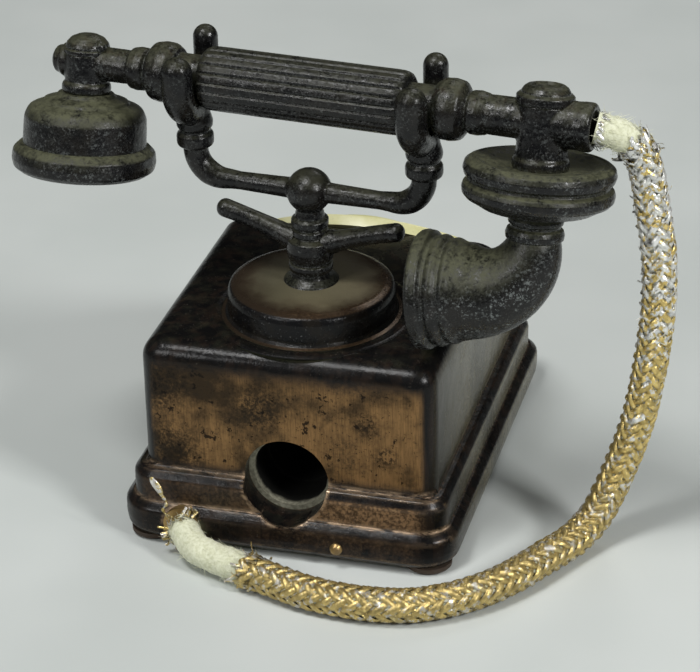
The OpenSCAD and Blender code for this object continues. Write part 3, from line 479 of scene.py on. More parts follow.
def bronze_body():
    """The housing: rubbed copper front, dark glossy edges, streaked sides, dust in the creases, and worn
    front edges on the plinth bands with a painted highlight.
    """
    n = new_material("bronze_body")
    x, y, z = (n.position(i) for i in range(3))
    front = n.ramp(n.normal(1) * -1, 0.8, 0.97)
    patch = n.noise(4.5, 5, 0.62, seed=2.3)
    blot = n.noise(1.7, 4, 0.7, seed=9.4)
    speck = n.noise(0.35, 3, 0.7, seed=4.4)
    scratch = n.noise(0.36, 4, 0.75, stretch=(3.4, 1, 0.16), seed=6.1)
    inside_x = n.ramp(n.math("ABSOLUTE", x + patch * 1), 16.7, 15)
    inside_top = n.ramp(z + patch * 3, 23.8, 21.6)
    above_band = n.ramp(z, 8.9, 10.2)
    face = front * inside_x * (inside_top * above_band)
    brighter = n.ramp(x, -15, 12) * 0.13 + n.ramp(z, 21, 13) * 0.07
    rub = n.ramp(patch + brighter, 0.44, 0.72)
    dark_copper, bright_copper = (0.048, 0.032, 0.019), (0.33, 0.19, 0.082)
    copper = n.mix(n.blend(n.ramp(scratch, 0.3, 0.62), rub * 0.45, rub), dark_copper, bright_copper)
    worn_dark = 0
    for across, height, radius in SCORCHES:
        worn_dark = n.max(worn_dark, n.blob((across, -BODY_HALF_Y, height), radius))
    worn_dark = worn_dark * n.ramp(blot + speck, 0.82, 0.98)
    copper = n.mix(worn_dark * n.blend(n.ramp(speck, 0.38, 0.58), 0.25, 0.8), copper, (0.022, 0.018, 0.014))
    smoky = n.ramp(n.noise(5.5, 4, 0.65, seed=21), 0.46, 0.7) * n.blend(n.ramp(speck, 0.36, 0.6), 0.2, 0.62)
    copper = n.mix(smoky, copper, (0.036, 0.028, 0.02))
    copper = n.mix(n.ramp(blot, 0.61, 0.64) * 0.9, copper, (0.014, 0.011, 0.009))
    copper = n.mix(n.ramp(speck, 0.6, 0.69) * 0.7, copper, (0.016, 0.012, 0.009))
    band_front = front * n.ramp(z, 9.2, 8)
    streak = n.noise(1.5, 4, 0.6, stretch=(1, 1, 0.12), seed=8.8)
    black, brown = (0.0045, 0.0042, 0.0042), (0.013, 0.009, 0.007)
    skin = n.mix(n.ramp(streak, 0.44, 0.64), black, brown)
    skin = n.mix(n.ramp(streak, 0.62, 0.78) * 0.25, skin, (0.055, 0.036, 0.019))
    upper_band = n.ramp(z, 4.7, 5.6) * 0.7 + 0.22
    worn_grain = n.blend(n.ramp(speck + blot * 0.5, 0.62, 0.86), 1, 0.25)
    along_band = n.blend(n.ramp(x, -9, 9), 0.22, 1) * n.ramp(x, 16.4, 14)
    right_band = band_front * upper_band * (along_band * worn_grain)
    right_band = right_band * n.ramp(blot + n.ramp(z, 4.6, 5.8) * 0.12, 0.32, 0.6)
    skin = n.mix(right_band, skin, (0.235, 0.142, 0.072))
    flank = n.ramp(n.math("ABSOLUTE", n.normal(0)), 0.8, 0.97) * n.ramp(y + patch * 10, -22, 2)
    flank = flank * n.blend(n.ramp(speck, 0.34, 0.6), 1, 0.45)
    skin = n.mix(flank * n.ramp(streak, -0.1, 0.55), skin, (0.142, 0.128, 0.082))
    edge = n.edge(0.55)
    bright = edge * n.ramp(speck, 0.5, 0.62) * n.ramp(z, 23, 21)
    skin = n.mix(bright * 0.55, skin, (0.26, 0.15, 0.085))
    # pale pinkish streak on the front top edges of the plinth bands, strongest to the right: edge wear with
    # a painted highlight
    pale_edge = n.ramp(n.noise(0.75, 4, 0.7, stretch=(0.35, 1, 1), seed=15), 0.38, 0.58)
    pale_edge = pale_edge * n.edge(0.75) * (n.ramp(y, -21, -22.6) * n.ramp(z, 9.8, 8.8))
    pale_edge = pale_edge * n.blend(n.ramp(x, -10, 4), 0.4, 0.9)
    skin = n.mix(pale_edge, skin, (0.62, 0.44, 0.28))
    bright = n.max(bright, pale_edge)
    grit = n.ramp(n.noise(0.18, 2, 0.6, seed=3), 0.63, 0.73) * (n.ramp(blot, 0.46, 0.62) * 0.4)
    skin = n.mix(grit, skin, (0.17, 0.15, 0.12))
    colour = n.mix(face, skin, copper)
    settled = n.ramp(n.normal(2), 0.55, 0.98) * n.ramp(n.noise(1.8, 4, 0.6, seed=12), 0.42, 0.72)
    packed = n.ramp(n.crease(1.5), 0.34, 0.8)
    cover = n.clip(n.max(settled * 0.12, packed) * 0.7)
    colour = n.mix(cover, colour, OLIVE)
    rough = n.blend(face, n.blend(n.ramp(patch, 0.3, 0.7), 0.17, 0.3), n.blend(rub, 0.36, 0.46))
    rough = n.blend(cover, rough, 0.85)
    metal = n.clip(n.max(face, bright * 0.7) * (0.85 - cover))
    height = n.noise(2.2, 3, 0.5, seed=5) * 0.8 + (speck + scratch * face) * 0.3
    return n.finish(colour, rough, metal, height, 0.1, 0.8, specular=0.18)


def turret_metal():
    """The drum: black glossy wall, copper-brown top that goes olive with dust towards the post; the top is
    painted darker on the left and lighter on the right, as the light falls from the right.
    """
    n = new_material("turret_cast")
    x, y = n.position(0), n.position(1)
    flat = n.math("SQRT", n.math("POWER", x, 2) + n.math("POWER", y - TURRET_Y, 2))
    patch = n.noise(2.6, 4, 0.6, seed=3.1)
    grain = n.noise(0.25, 3, 0.65, seed=7)
    top = n.ramp(n.normal(2), 0.75, 0.97)
    wander = flat + (patch - 0.5) * 4
    brown = n.mix(n.ramp(grain, 0.4, 0.7), (0.042, 0.026, 0.015), (0.098, 0.062, 0.034))
    brown = n.mix(n.ramp(wander, 8.6, 6.6), brown, (0.08, 0.062, 0.038))
    # painted shade: the top darker towards the left, away from the light
    brown = n.mix(n.ramp(x, 3, -5), brown, (0.04, 0.028, 0.018))
    skin = n.mix(top, n.mix(n.ramp(patch, 0.4, 0.7), (0.004, 0.004, 0.0045), (0.01, 0.008, 0.006)), brown)
    dust = top * n.ramp(wander, 8.4, 4.2)
    dust = n.clip(n.max(dust * 0.75, n.ramp(n.crease(1.6), 0.3, 0.8) * 0.8))
    speck = n.ramp(grain, 0.64, 0.72) * (1 - top)
    # painted light: the dust lighter towards the right, where the light falls
    olive_dust_painted_light = n.mix(n.ramp(x, -6, 6), (0.072, 0.068, 0.04), (0.17, 0.15, 0.088))
    colour = n.mix(dust, n.mix(speck * 0.4, skin, PALE_WEAR), olive_dust_painted_light)
    height = grain * 0.7 + n.noise(0.9, 3, 0.5, seed=5)
    rough = n.blend(dust, n.blend(patch, 0.16, 0.34), 0.8)
    return n.finish(colour, rough, n.clip(top * (0.45 - dust)), height, 0.06, 0.8, specular=0.2)


def plain_metal(name, colour, roughness=0.35, metallic=0.9, dirt_and_crease_shade=(0.05, 0.04, 0.03), amount=0.5):
    n = new_material(name)
    patch = n.noise(1.4, 4, 0.6, seed=2)
    fine = n.noise(0.2, 3, 0.6, seed=5)
    # darker in random dirt patches, and in creases as painted shade
    cover = n.max(n.ramp(patch, 0.45, 0.75), n.ramp(n.crease(1), 0.3, 0.8)) * amount
    tone = n.mix(n.ramp(fine, 0.35, 0.65), tuple(c * 0.82 for c in colour), colour)
    colour, rough = n.mix(cover, tone, dirt_and_crease_shade), n.blend(cover, roughness, 0.75)
    return n.finish(colour, rough, (1 - cover) * metallic, fine, 0.03, 0.5)


def sharpener_alloy():
    """Dull grey alloy, pale at the guide's mouth and painted black further in, as shade inside the bore."""
    n = new_material("sharpener_alloy")
    # painted shade: black further into the bore
    painted_bore_shade = n.ramp(n.position(1) + n.noise(1, 3, 0.6, seed=3), -20, -19.2)
    pale = n.mix(n.ramp(n.noise(0.4, 3, 0.6, seed=5), 0.35, 0.65), (0.2, 0.19, 0.14), (0.34, 0.33, 0.25))
    colour, fine = n.mix(painted_bore_shade, pale, (0.006, 0.006, 0.005)), n.noise(0.3, 3, seed=6)
    return n.finish(colour, n.blend(painted_bore_shade, 0.5, 0.8), (1 - painted_bore_shade) * 0.3, fine, 0.04, 0.5, specular=0.2)


def cream_plastic():
    n = new_material("cream_plastic")
    patch = n.noise(3.5, 4, 0.6, seed=4)
    colour = n.mix(n.ramp(patch, 0.35, 0.7), (0.6, 0.58, 0.28), (0.7, 0.68, 0.4))
    # painted shade: darker brown in the creases
    cover = n.ramp(n.crease(1.2), 0.25, 0.8) * 0.6
    colour = n.mix(cover, colour, (0.16, 0.13, 0.07))
    colour = n.mix(n.ramp(n.noise(0.25, 3, 0.7, seed=8), 0.66, 0.74) * 0.5, colour, (0.2, 0.16, 0.08))
    return n.finish(colour, n.blend(patch, 0.22, 0.38), 0, n.noise(0.8, 3, seed=2), 0.03, 0.4)


def foil(name, gold, silver, silver_share):
    """Metallised yarn: gold foil with patches of silver, more of them higher up, darker gold towards the
    bottom, and small facets that glint.
    """
    n = new_material(name)
    patch = n.noise(0.9, 3, 0.6, seed=3)
    upper = n.ramp(n.position(2), 14, 42) * 0.14
    spread = patch + upper + n.noise(0.35, 2, 0.6, seed=6) * 0.35
    silvered = n.ramp(spread, silver_share, silver_share + 0.07)
    _away, tone = n.cells(1 / 2.2)
    gold_tone = n.mix(tone, tuple(c * 0.46 for c in gold), gold)
    silver_tone = n.mix(tone, tuple(c * 0.6 for c in silver), silver)
    colour = n.mix(silvered, gold_tone, silver_tone)
    # painted shade: near black in the creases between the ribbons
    colour = n.mix(n.ramp(n.crease(0.6), 0.22, 0.62) * 0.94, colour, (0.02, 0.012, 0.004))
    height = tone + n.noise(0.12, 2, 0.5, seed=1)
    # darker gold towards the bottom
    colour = n.mix(n.ramp(n.position(2), 20, 2) * 0.42, colour, (0.28, 0.215, 0.095))
    return n.finish(colour, n.blend(tone, 0.34, 0.16), n.blend(silvered, 0.72, 0.5), height, 0.05, 0.9)


def cotton():
    n = new_material("cotton_core")
    strand = n.noise(0.35, 4, 0.6, seed=3)
    colour = n.mix(n.ramp(strand, 0.35, 0.65), (0.6, 0.61, 0.42), (0.74, 0.75, 0.57))
    # painted shade: darker in the creases
    colour = n.mix(n.ramp(n.crease(0.8), 0.35, 0.9) * 0.5, colour, (0.3, 0.25, 0.13))
    return n.finish(colour, 0.95, 0, strand, 0.05, 0.6, sheen=0.2)


def cloth_floor():
    n = new_material("pale_floor")
    patch = n.ramp(n.noise(38, 3, 0.5, seed=2), 0.3, 0.7)
    tone = n.mix(patch, (0.548, 0.58, 0.557), (0.603, 0.631, 0.608))
    return n.finish(tone, 0.9, 0, n.noise(0.6, 2, 0.5, seed=1), 0.02, 0.3, specular=0.2)


mat_body = bronze_body()
mat_dark = blackened("blackened_cast", 0.48, 0.6, 0.15, 0.35, copper=0.1)
mat_turret = turret_metal()
mat_cradle = blackened("cradle_cast", 0.32, 0.5, 0.17, 0.25)
mat_grip = blackened("grip_cast", 0.26, 0.45, 0.2, 0.14)
mat_capsule = blackened("capsule_cast", 0.92, 0.6, 0.2, 0.5)
horn_black, horn_brown = (0.005, 0.005, 0.005), (0.011, 0.01, 0.009)
mat_horn = blackened("horn_cast", 0.85, 0.5, 0.2, 0.85, dark=horn_black, brown=horn_brown)
mat_pad = plain_metal("copper_pad", (0.065, 0.04, 0.026), 0.5, 0.5, amount=0.7)
mat_brass = plain_metal("old_brass", (0.45, 0.3, 0.12), 0.35, 0.85, amount=0.6)
mat_alloy = sharpener_alloy()
mat_steel = plain_metal("blade_steel", (0.55, 0.56, 0.57), 0.28, 0.95)
mat_plate = plain_metal("plate_metal", (0.13, 0.12, 0.1), 0.45, 0.7)
mat_cream = cream_plastic()
mat_gold = foil("gold_foil", (0.95, 0.72, 0.26), (0.97, 0.97, 0.92), 0.74)
mat_silver = foil("silver_foil", (0.95, 0.78, 0.36), (0.98, 0.98, 0.95), 0.66)
mat_cotton = cotton()

# ---- cord
CORD_D = 3.9
LYING_Z = CORD_D / 2
CORD_ROUTE = [
    (31.454, -13.779, 50), (34, -13.6, 49.4), (35.9, -13.4, 47.8), (36.8, -13.1, 45), (37.5, -12.8, 41),
    (38.2, -12.4, 36), (38.4, -12.2, 31), (38.1, -11.9, 26), (37.5, -11.6, 21), (36.7, -11.3, 16),
    (35.4, -11.2, 11), (33.9, -11.8, 6.5), (32.4, -13.4, 3.3), (30.6, -16.4, LYING_Z),
    (28.4, -20.4, LYING_Z), (25.6, -25.2, LYING_Z), (21.8, -29.6, LYING_Z), (16.6, -32.8, LYING_Z),
    (10.8, -33.7, LYING_Z), (5, -33, LYING_Z), (-0.2, -31.2, LYING_Z), (-5, -29.4, LYING_Z),
    (-8.8, -28, 2.3), (-11.5, -25, 3),
]
CARRIERS, BRAID_R, TURN_LENGTH = 8, 1.72, 11
BRAID_FROM, BRAID_TO = 4, 11
CORE_R, BARE_CORE_R = 1.52, 1.68
RIBBON_HALF, RIBBON_ACROSS, RIBBON_ARCH = 0.4, (-1, -0.45, 0.45, 1), (-0.17, 0.05, 0.05, -0.17)
WEAVE_LIFT, WEAVE_ROW = 0.17, 0.24
STRIP_ROWS = 7
HAIR_RADII = [0.024, 0.022, 0.019, 0.015, 0.008]
rng = random.Random(7)


def drawn(*ranges):
    """One random number from each range, in order."""
    return [rng.uniform(*r) for r in ranges]


def spread(run, out, ahead, outward, aside):
    """A random direction from shares along the run, away from it and across both."""
    return run * rng.uniform(*ahead) + out * rng.uniform(*outward) + run.cross(out) * rng.uniform(*aside)


def strip(start, direction, normal, size, width, curl):
    """A narrow leaf of foil that narrows and curls as it leaves its start."""
    points, faces = [], []
    p, d, up = start.copy(), direction.normalized(), normal.normalized()
    side = d.cross(up).normalized()
    for k in range(STRIP_ROWS):
        w = width * (1 - 0.35 * k / STRIP_ROWS)
        points += [p - side * w, p + up * width * 0.25, p + side * w]
        p = p + d * size / STRIP_ROWS
        d = (d + up * curl * 0.22 + side * rng.uniform(-0.12, 0.12)).normalized()
        up = side.cross(d).normalized()
        side = d.cross(up).normalized()
    for k in range(STRIP_ROWS - 1):
        faces += [(a, a + 1, a + 4, a + 3) for a in (k * 3, k * 3 + 1)]
    return Shape(points, faces)


def fray(p, direction, out, size, width, curl):
    return strip(p, direction, out, *drawn(size, width, curl))


class Route:
    """The cord's centreline, and places round it by travelled length, angle and radius."""

    def __init__(self, points):
        self.path = smooth_path(points, 10)
        self.travelled = along(self.path)
        self.axes = frames_along(self.path)
        self.length = self.travelled[-1]

    def at(self, s, angle, r):
        """The place, the way out from the centreline there, and the way the cord runs."""
        s = min(max(s, 0), self.length - 1e-6)
        lo = bisect_right(self.travelled, s) - 1
        t = (s - self.travelled[lo]) / max(self.travelled[lo + 1] - self.travelled[lo], 1e-9)
        centre = self.path[lo].lerp(self.path[lo + 1], t)
        u, v = (self.axes[lo][k].lerp(self.axes[lo + 1][k], t) for k in (1, 2))
        out = (u * cos(angle) + v * sin(angle)).normalized()
        return centre + out * r, out, self.axes[lo][0]


route = Route(CORD_ROUTE)
BRAID_START, BRAID_END = BRAID_FROM, route.length - BRAID_TO


def core_ring(s, sides=24):
    """A ring of the cotton core, lumpy where it shows."""
    bare = s < BRAID_START + 0.6 or s > BRAID_END - 0.6
    ring = []
    for a in full_turn(sides):
        lump = 0.13 * noise.noise(Vector((s * 0.9, cos(a) * 1.3, sin(a) * 1.3)))
        ring.append(route.at(s, a, BARE_CORE_R + lump if bare else CORE_R)[0])
    return ring


def ribbon(carrier, sense, rows):
    """One carrier's ribbon, woven over two and under two of the others."""
    verts, faces, n = [], [], len(RIBBON_ACROSS)
    start = tau * carrier / CARRIERS
    for j in range(rows + 1):
        s = BRAID_START + (BRAID_END - BRAID_START) * j / rows
        turned = sense * tau / TURN_LENGTH * (s - BRAID_START)
        other = (start + 2 * turned) * CARRIERS / tau
        lift = sin((carrier + other) * pi / 2 + pi / 4) * sense
        r = BRAID_R + WEAVE_LIFT * lift + 0.06 * noise.noise(Vector((s * 0.35, carrier * 3.1, sense * 5)))
        ends = min(1, (s - BRAID_START) / 1, (BRAID_END - s) / 1.4)
        r += 0.22 * (1 - max(ends, 0))
        wander = 0.05 * noise.noise(Vector((s * 0.5, carrier * 1.7, sense * 9)))
        for w, h in zip(RIBBON_ACROSS, RIBBON_ARCH):
            # the ribbon's width lies across its own run
            back, aside = -sense * w * RIBBON_HALF * 0.66, w * RIBBON_HALF * 0.75 / BRAID_R
            verts.append(route.at(s + back, start + turned + aside + wander, r + h)[0])
    for j in range(rows):
        faces += [(j * n + i, j * n + i + 1, (j + 1) * n + i + 1, (j + 1) * n + i) for i in range(n - 1)]
    return Shape(verts, faces)


def braid_frays():
    """Stray foil at both ends of the braid and along it, and cut strands round both sockets."""
    frays = Shape()
    for s0, count, way in ((BRAID_START, 42, -1), (BRAID_END, 54, 1)):
        for _ in range(count):
            angle = rng.uniform(0, tau)
            s = s0 - way * rng.uniform(0, 2.4)
            p, out, run = route.at(s, angle, BRAID_R + rng.uniform(0, 0.18))
            direction = spread(run * way, out, (0.3, 1), (-0.05, 0.55), (-0.9, 0.9))
            if p.z < 1 and out.z < -0.3:
                continue
            frays += fray(p, direction, out, (0.8, 2.1), (0.1, 0.24), (-0.9, 0.5))
    for _ in range(150):
        s = BRAID_START + 24 * rng.random() ** 1.4
        p, out, run = route.at(s, rng.uniform(0, tau), BRAID_R + 0.05)
        direction = spread(run, out, (-1, 1), (0.1, 0.6), (-1, 1))
        frays += fray(p, direction, out, (0.5, 1.2), (0.1, 0.2), (-1.2, 0.2))
    for a in full_turn(30):
        angle = a + rng.uniform(-0.08, 0.08)
        p, out, _run = route.at(rng.uniform(0.05, 0.5), angle, 1.7 + rng.uniform(0, 0.15))
        direction = spread(route.axes[0][0], out, (0.4, 1), (0, 0.7), (-0.8, 0.8))
        frays += fray(p, direction, out, (0.6, 1.5), (0.1, 0.18), (-0.9, 0.6))
    tangent = route.axes[-1][0]
    for a in full_turn(64):
        angle = a + rng.uniform(-0.06, 0.06)
        p, out, _run = route.at(route.length - rng.uniform(0.25, 1), angle, 1.75 + rng.uniform(0, 0.2))
        outward, back, aside = drawn((0.35, 1), (-0.4, 0.5), (-0.9, 0.9))
        direction = out * outward - tangent * back + tangent.cross(out) * aside
        if p.z + direction.z < 0.4:
            continue
        frays += fray(p, direction, out, (0.5, 1.3), (0.12, 0.26), (-0.6, 0.9))
    return frays + loose_strand()


def loose_strand():
    """One long strand that stands up beside the cord hole, with its loose leaf of foil."""
    strand = smooth_path([
        (-12.6, -25.7, 4.3), (-13.2, -25.9, 5.3), (-12.7, -26, 6.3), (-13.3, -25.9, 7.3),
        (-13.9, -25.8, 8.4),
    ], 6)
    leaf = smooth_path([(-13.2, -26, 7.1), (-13.5, -26, 7.9), (-14.1, -25.9, 8.7), (-14.4, -25.9, 9.3)], 5)
    thread = sweep(strand, [0.16 + 0.07 * sin(i * 1.3) for i in range(len(strand))], 6)
    bulge = [sin(pi * (i + 0.6) / (len(leaf) + 0.4)) for i in range(len(leaf))]
    return thread + sweep(leaf, [0.1 + 0.34 * b for b in bulge], 8, wide=0.45)


def core_fuzz():
    """Loose filaments of the core, where the braid leaves it bare."""
    fuzz = Shape()
    for s0, s1, count in ((0.4, BRAID_START + 0.8, 260), (BRAID_END - 0.8, route.length - 0.4, 360)):
        for _ in range(count):
            s, angle = drawn((s0, s1), (0, tau))
            p, out, run = route.at(s, angle, 1.6)
            d = spread(run * rng.choice((-1, 1)), out, (0.5, 1.2), (0.15, 0.8), (-0.7, 0.7))
            hair, step = [p], rng.uniform(0.16, 0.32)
            bend = Vector(drawn((-1, 1), (-1, 1), (-1, 1))) * 0.35
            for _k in range(4):
                d = d.normalized() + bend * 0.6 - out * 0.1
                hair.append(hair[-1] + d.normalized() * step)
            if min(h.z for h in hair) >= 0.1:
                fuzz += sweep(hair, HAIR_RADII, 3)
    return fuzz


def build_cord():
    shape = loft([core_ring(route.length * j / 260) for j in range(261)])
    kinds = [0] * len(shape.faces)
    rows = int((BRAID_END - BRAID_START) / WEAVE_ROW)
    for sense in (1, -1):
        for carrier in range(CARRIERS):
            strand = ribbon(carrier, sense, rows)
            shape += strand
            kinds += [2 if (carrier % 6 == 2 and sense > 0) else 1] * len(strand.faces)
    cord = raw_object("braided_cord", on_floor(shape))
    finish_piece(cord, [mat_cotton, mat_gold, mat_silver], "base", "braid", "cord", sharp=60)
    cord.data.polygons.foreach_set("material_index", kinds)
    frays, fuzz = braid_frays(), core_fuzz()
    stray = piece("braid_frays", on_floor(frays), mat_silver, "base", "braid", sharp=60)
    kinds = [rng.choice((0, 0, 1)) for _ in stray.data.polygons]
    stray.data.materials.append(mat_gold)
    per_strip = 2 * (STRIP_ROWS - 1)
    stray.data.polygons.foreach_set("material_index", [kinds[i // per_strip] for i in range(len(kinds))])
    hairs = piece("core_fuzz", on_floor(fuzz), mat_cotton, "base", "braid", sharp=60)
    [[c * MM for c in p] for p in route.path]


build_cord()


# ---- housing
PLINTH_HALF_X, PLINTH_HALF_Y, PLINTH_CORNER_R = 19, 25, 4.2
CORNER_R, ROUND_FROM_Z, WALL_IN = 2.4, 21.5, 1.6
INNER_CORNER_R, INNER_TOP_Z, INNER_TOP_Y = 0.8, 22.3, 9.2
RIDGE_R, RIDGE_ROUND_Y, RIDGE_ROUND_Z, RIDGE_ROUND_FROM = 0.8, 9.575, 23.1, 23.61


def plan_ring(z, half_x, y0, y1, front_r, back_r, inset=0, steps=8):
    """A rounded rectangle at height z, drawn in by inset."""
    hx, a, b = half_x - inset, y0 + inset, y1 - inset
    rf, rb = max(front_r - inset, 0.3), max(back_r - inset, 0.3)
    corners = ((hx - rb, b - rb, rb), (-hx + rb, b - rb, rb), (-hx + rf, a + rf, rf), (hx - rf, a + rf, rf))
    out = []
    for quadrant, (cx, cy, r) in enumerate(corners):
        out += [Vector((cx, cy, z)) + polar(quadrant * pi / 2 + t, r) for t in quarter(steps)]
    return out


def body_ring(z):
    """The body at height z: upright, round at the top edge, with the dial's slope at its back."""
    side = 0
    if z >= ROUND_FROM_Z:
        side = CORNER_R - sqrt(max(CORNER_R ** 2 - (z - ROUND_FROM_Z) ** 2, 0))
    back = BODY_HALF_Y if z <= BODY_FROM_Z else RIDGE_Y + (DECK_Z - z) * SLOPE_RUN / SLOPE_RISE
    if z > RIDGE_ROUND_FROM:
        back = RIDGE_ROUND_Y + sqrt(max(RIDGE_R ** 2 - (z - RIDGE_ROUND_Z) ** 2, 0))
    t = min(max((z - BODY_FROM_Z) / SLOPE_RISE, 0), 1)
    front_r, back_r = max(CORNER_R - side * 0.75, 0.6), CORNER_R - 1.3 * t
    return plan_ring(z, BODY_HALF_X - side, side - BODY_HALF_Y, back, front_r, back_r)


def housing_shape():
    """The two-step plinth and the body over it, hollow from below."""
    skirt = [
        (1.9, 0.85, 0), (0.75, 0.88, 0.4), (0.12, 1.6, 0.6), (0, 2.6, 1), (0, 4.25, 0.9),
        (0.85, 5.05, 0.55), (1.1, 5.12, 0.12), (1.12, 5.6, 0.3), (1.1, 7.75, 0.9), (1.85, 8.66, 0.55),
        (2.42, 8.74, 0.12), (2.5, 8.86, 0),
    ]
    plinth = (PLINTH_HALF_X, -PLINTH_HALF_Y, PLINTH_HALF_Y, PLINTH_CORNER_R, PLINTH_CORNER_R)
    rings = [plan_ring(p.y, *plinth, inset=p.x) for p in soften(skirt, 0.3, 5)]
    levels = [9 + (ROUND_FROM_Z - 9) * k / 10 for k in range(11)]
    levels += [ROUND_FROM_Z + CORNER_R * sin(a) for a in quarter(9)[1:]]
    rings += [body_ring(z) for z in levels]
    outer = loft(rings, cap_start=False)
    half_x, half_y = BODY_HALF_X - WALL_IN, BODY_HALF_Y - WALL_IN
    levels = ((0.85, half_y), (BODY_FROM_Z, half_y), (INNER_TOP_Z, INNER_TOP_Y))
    inner = [plan_ring(z, half_x, -half_y, back, INNER_CORNER_R, INNER_CORNER_R) for z, back in levels]
    n, m = len(outer.verts), len(rings[0])
    shape = outer + Shape([v for ring in inner for v in ring], [])
    for i in range(m):
        k = (i + 1) % m
        shape.faces.append((k, i, n + i, n + k))
        for j in (n, n + m):
            shape.faces.append((j + k, j + i, j + m + i, j + m + k))
    shape.faces.append(tuple(n + 2 * m + i for i in range(m - 1, -1, -1)))
    return shape


def rod_shape(radius, start, end, segments=64):
    a, b = Vector(start), Vector(end)
    turn = (b - a).to_track_quat("Z", "Y").to_matrix().to_4x4()
    ring = [polar(t, radius) for t in full_turn(segments)]
    return loft([[a + turn @ v for v in ring], [b + turn @ v for v in ring]])


PENCIL_R, PENCIL_Z = 4.75, 9
CORD_HOLE_R, CORD_HOLE_X, CORD_HOLE_Z = 2.1, -11.5, 3
pencil_hole = rod_shape(PENCIL_R, (0, -27, PENCIL_Z), (0, -20.2, PENCIL_Z))
cord_hole = rod_shape(CORD_HOLE_R, (CORD_HOLE_X, -26, CORD_HOLE_Z), (CORD_HOLE_X, -22.8, CORD_HOLE_Z), 48)
piece(
    "housing_casting", housing_shape(), mat_body, "base", "bronze_casting", "base_housing",
    sharp=40, cuts=(pencil_hole, cord_hole),
)
seat_profile = [
    (0, -0.1), (11.35, -0.1, 0), (11.35, 0.05, 0.05), (11, 0.22, 0.25), (10.6, 0.24, 0.2),
    (10.1, 0.12, 0.2), (9.6, 0.16, 0.2), (0, 0.17),
]
on_deck = moved(0, TURRET_Y, DECK_Z)
piece("ring_seat", lathe(seat_profile).at(on_deck), mat_body, "base", "bronze_casting")

# ---- feet, rivet
FOOT_X, FOOT_Y = 15.7, 21.7
RIVET_AT = (6.15, -25, 2.55)
pad = lathe([(0, 0), (2.25, 0, 0.1), (2.58, 0.28), (2.6, 0.83, 0.05), (0, 0.85)], segments=48)
for end, sy in (("front", -1), ("rear", 1)):
    for side, sx in (("left", -1), ("right", 1)):
        placed = pad.at(moved(sx * FOOT_X, sy * FOOT_Y, 0))
        piece(f"pad_{end}_{side}", placed, mat_pad, "base", "copper_pad", f"foot_{end}_{side}")

rivet_turn = moved(*RIVET_AT) @ spun(radians(90), "X")
rivet = lathe([(0, -0.3), (0.7, -0.3), (0.7, 0.16), (0.45, 0.52, 0.2), (0, 0.62)], 0.1, 32)
piece("rivet_head", rivet.at(rivet_turn), mat_brass, "base", "bronze_casting", "plinth_rivet")

# ---- turret and post
drum = lathe([
    (0, 24.08), (9.95, 24.08, 0), (9.55, 24.2), (9.28, 24.5, 0.25), (9.25, 26.6, 0.8), (9.02, 27.3, 0.7),
    (8.2, 27.62, 0.9), (5, 27.72, 1), (3.2, 27.8), (0, 27.8),
], segments=128)
drum = drum.at(moved(0, TURRET_Y, 0))
piece("turret_drum_cast", drum, mat_turret, "base", "bronze_casting", "turret_drum")

post = lathe([
    (0, 27.7), (3.1, 27.7, 0), (2.95, 27.95, 0.2), (2.35, 28.5, 0.5), (2.1, 29, 0.1), (2.38, 29.12, 0.15),
    (2.45, 29.55, 0.3), (2.38, 29.95, 0.15), (2.12, 30.08, 0.08), (2.12, 30.32, 0.08), (2.5, 30.55, 0.3),
    (2.62, 31.6, 1), (2.5, 32.75, 0.3), (1.8, 33.02, 0.15), (1.72, 33.12, 0.05), (1.95, 33.3, 0.2),
    (1.95, 33.9, 0.25), (1.62, 34.12, 0.08), (2.05, 34.4, 0.3), (2.05, 35.1, 0.3), (1.7, 35.4, 0.1),
    (0, 35.4),
], 0.12)
metal("post_cast", post.at(in_cradle), mat_cradle, "base", "cradle_post")


def hook_arm():
    """A thin arm that rises outward from the post, with a rounded tip."""
    root, run, rise, start_z = 2.55, 10.9 - 2.55, 2.4, 31.9
    direction = polar(atan2(rise, run))
    direction = Vector((direction.x, 0, direction.y))
    stations = [(1.9, 1.4), (2.9, 1.32), (3.3, 1.18), (4.5, 1.1), (6, 1.03), (7.5, 1), (9, 1.02)]
    stations += [(10, 1.04)]
    stations += [(s, r) for s, r in rounded_end(root + hypot(rise, run), 1.05, 0.95) if s > 10.2]
    path = [direction * s for s, _r in stations]
    path = [p + Z * (start_z + 0.18 * sin(max(p.length - 3, 0) * 0.35)) for p in path]
    return sweep(path, [r for _s, r in stations[:-1]] + [0.05], 28, side=Y)


for name, turn in (("right", 0), ("left", pi)):
    arm = hook_arm().at(in_cradle @ spun(turn, "Z"))
    metal(f"hook_arm_cast_{name}", arm, mat_cradle, "base", f"hook_arm_{name}", sharp=60)


# ---- yoke and forks
FORK_X, BAR_Z, BEND_R = 13.1, 38.4, 3.2


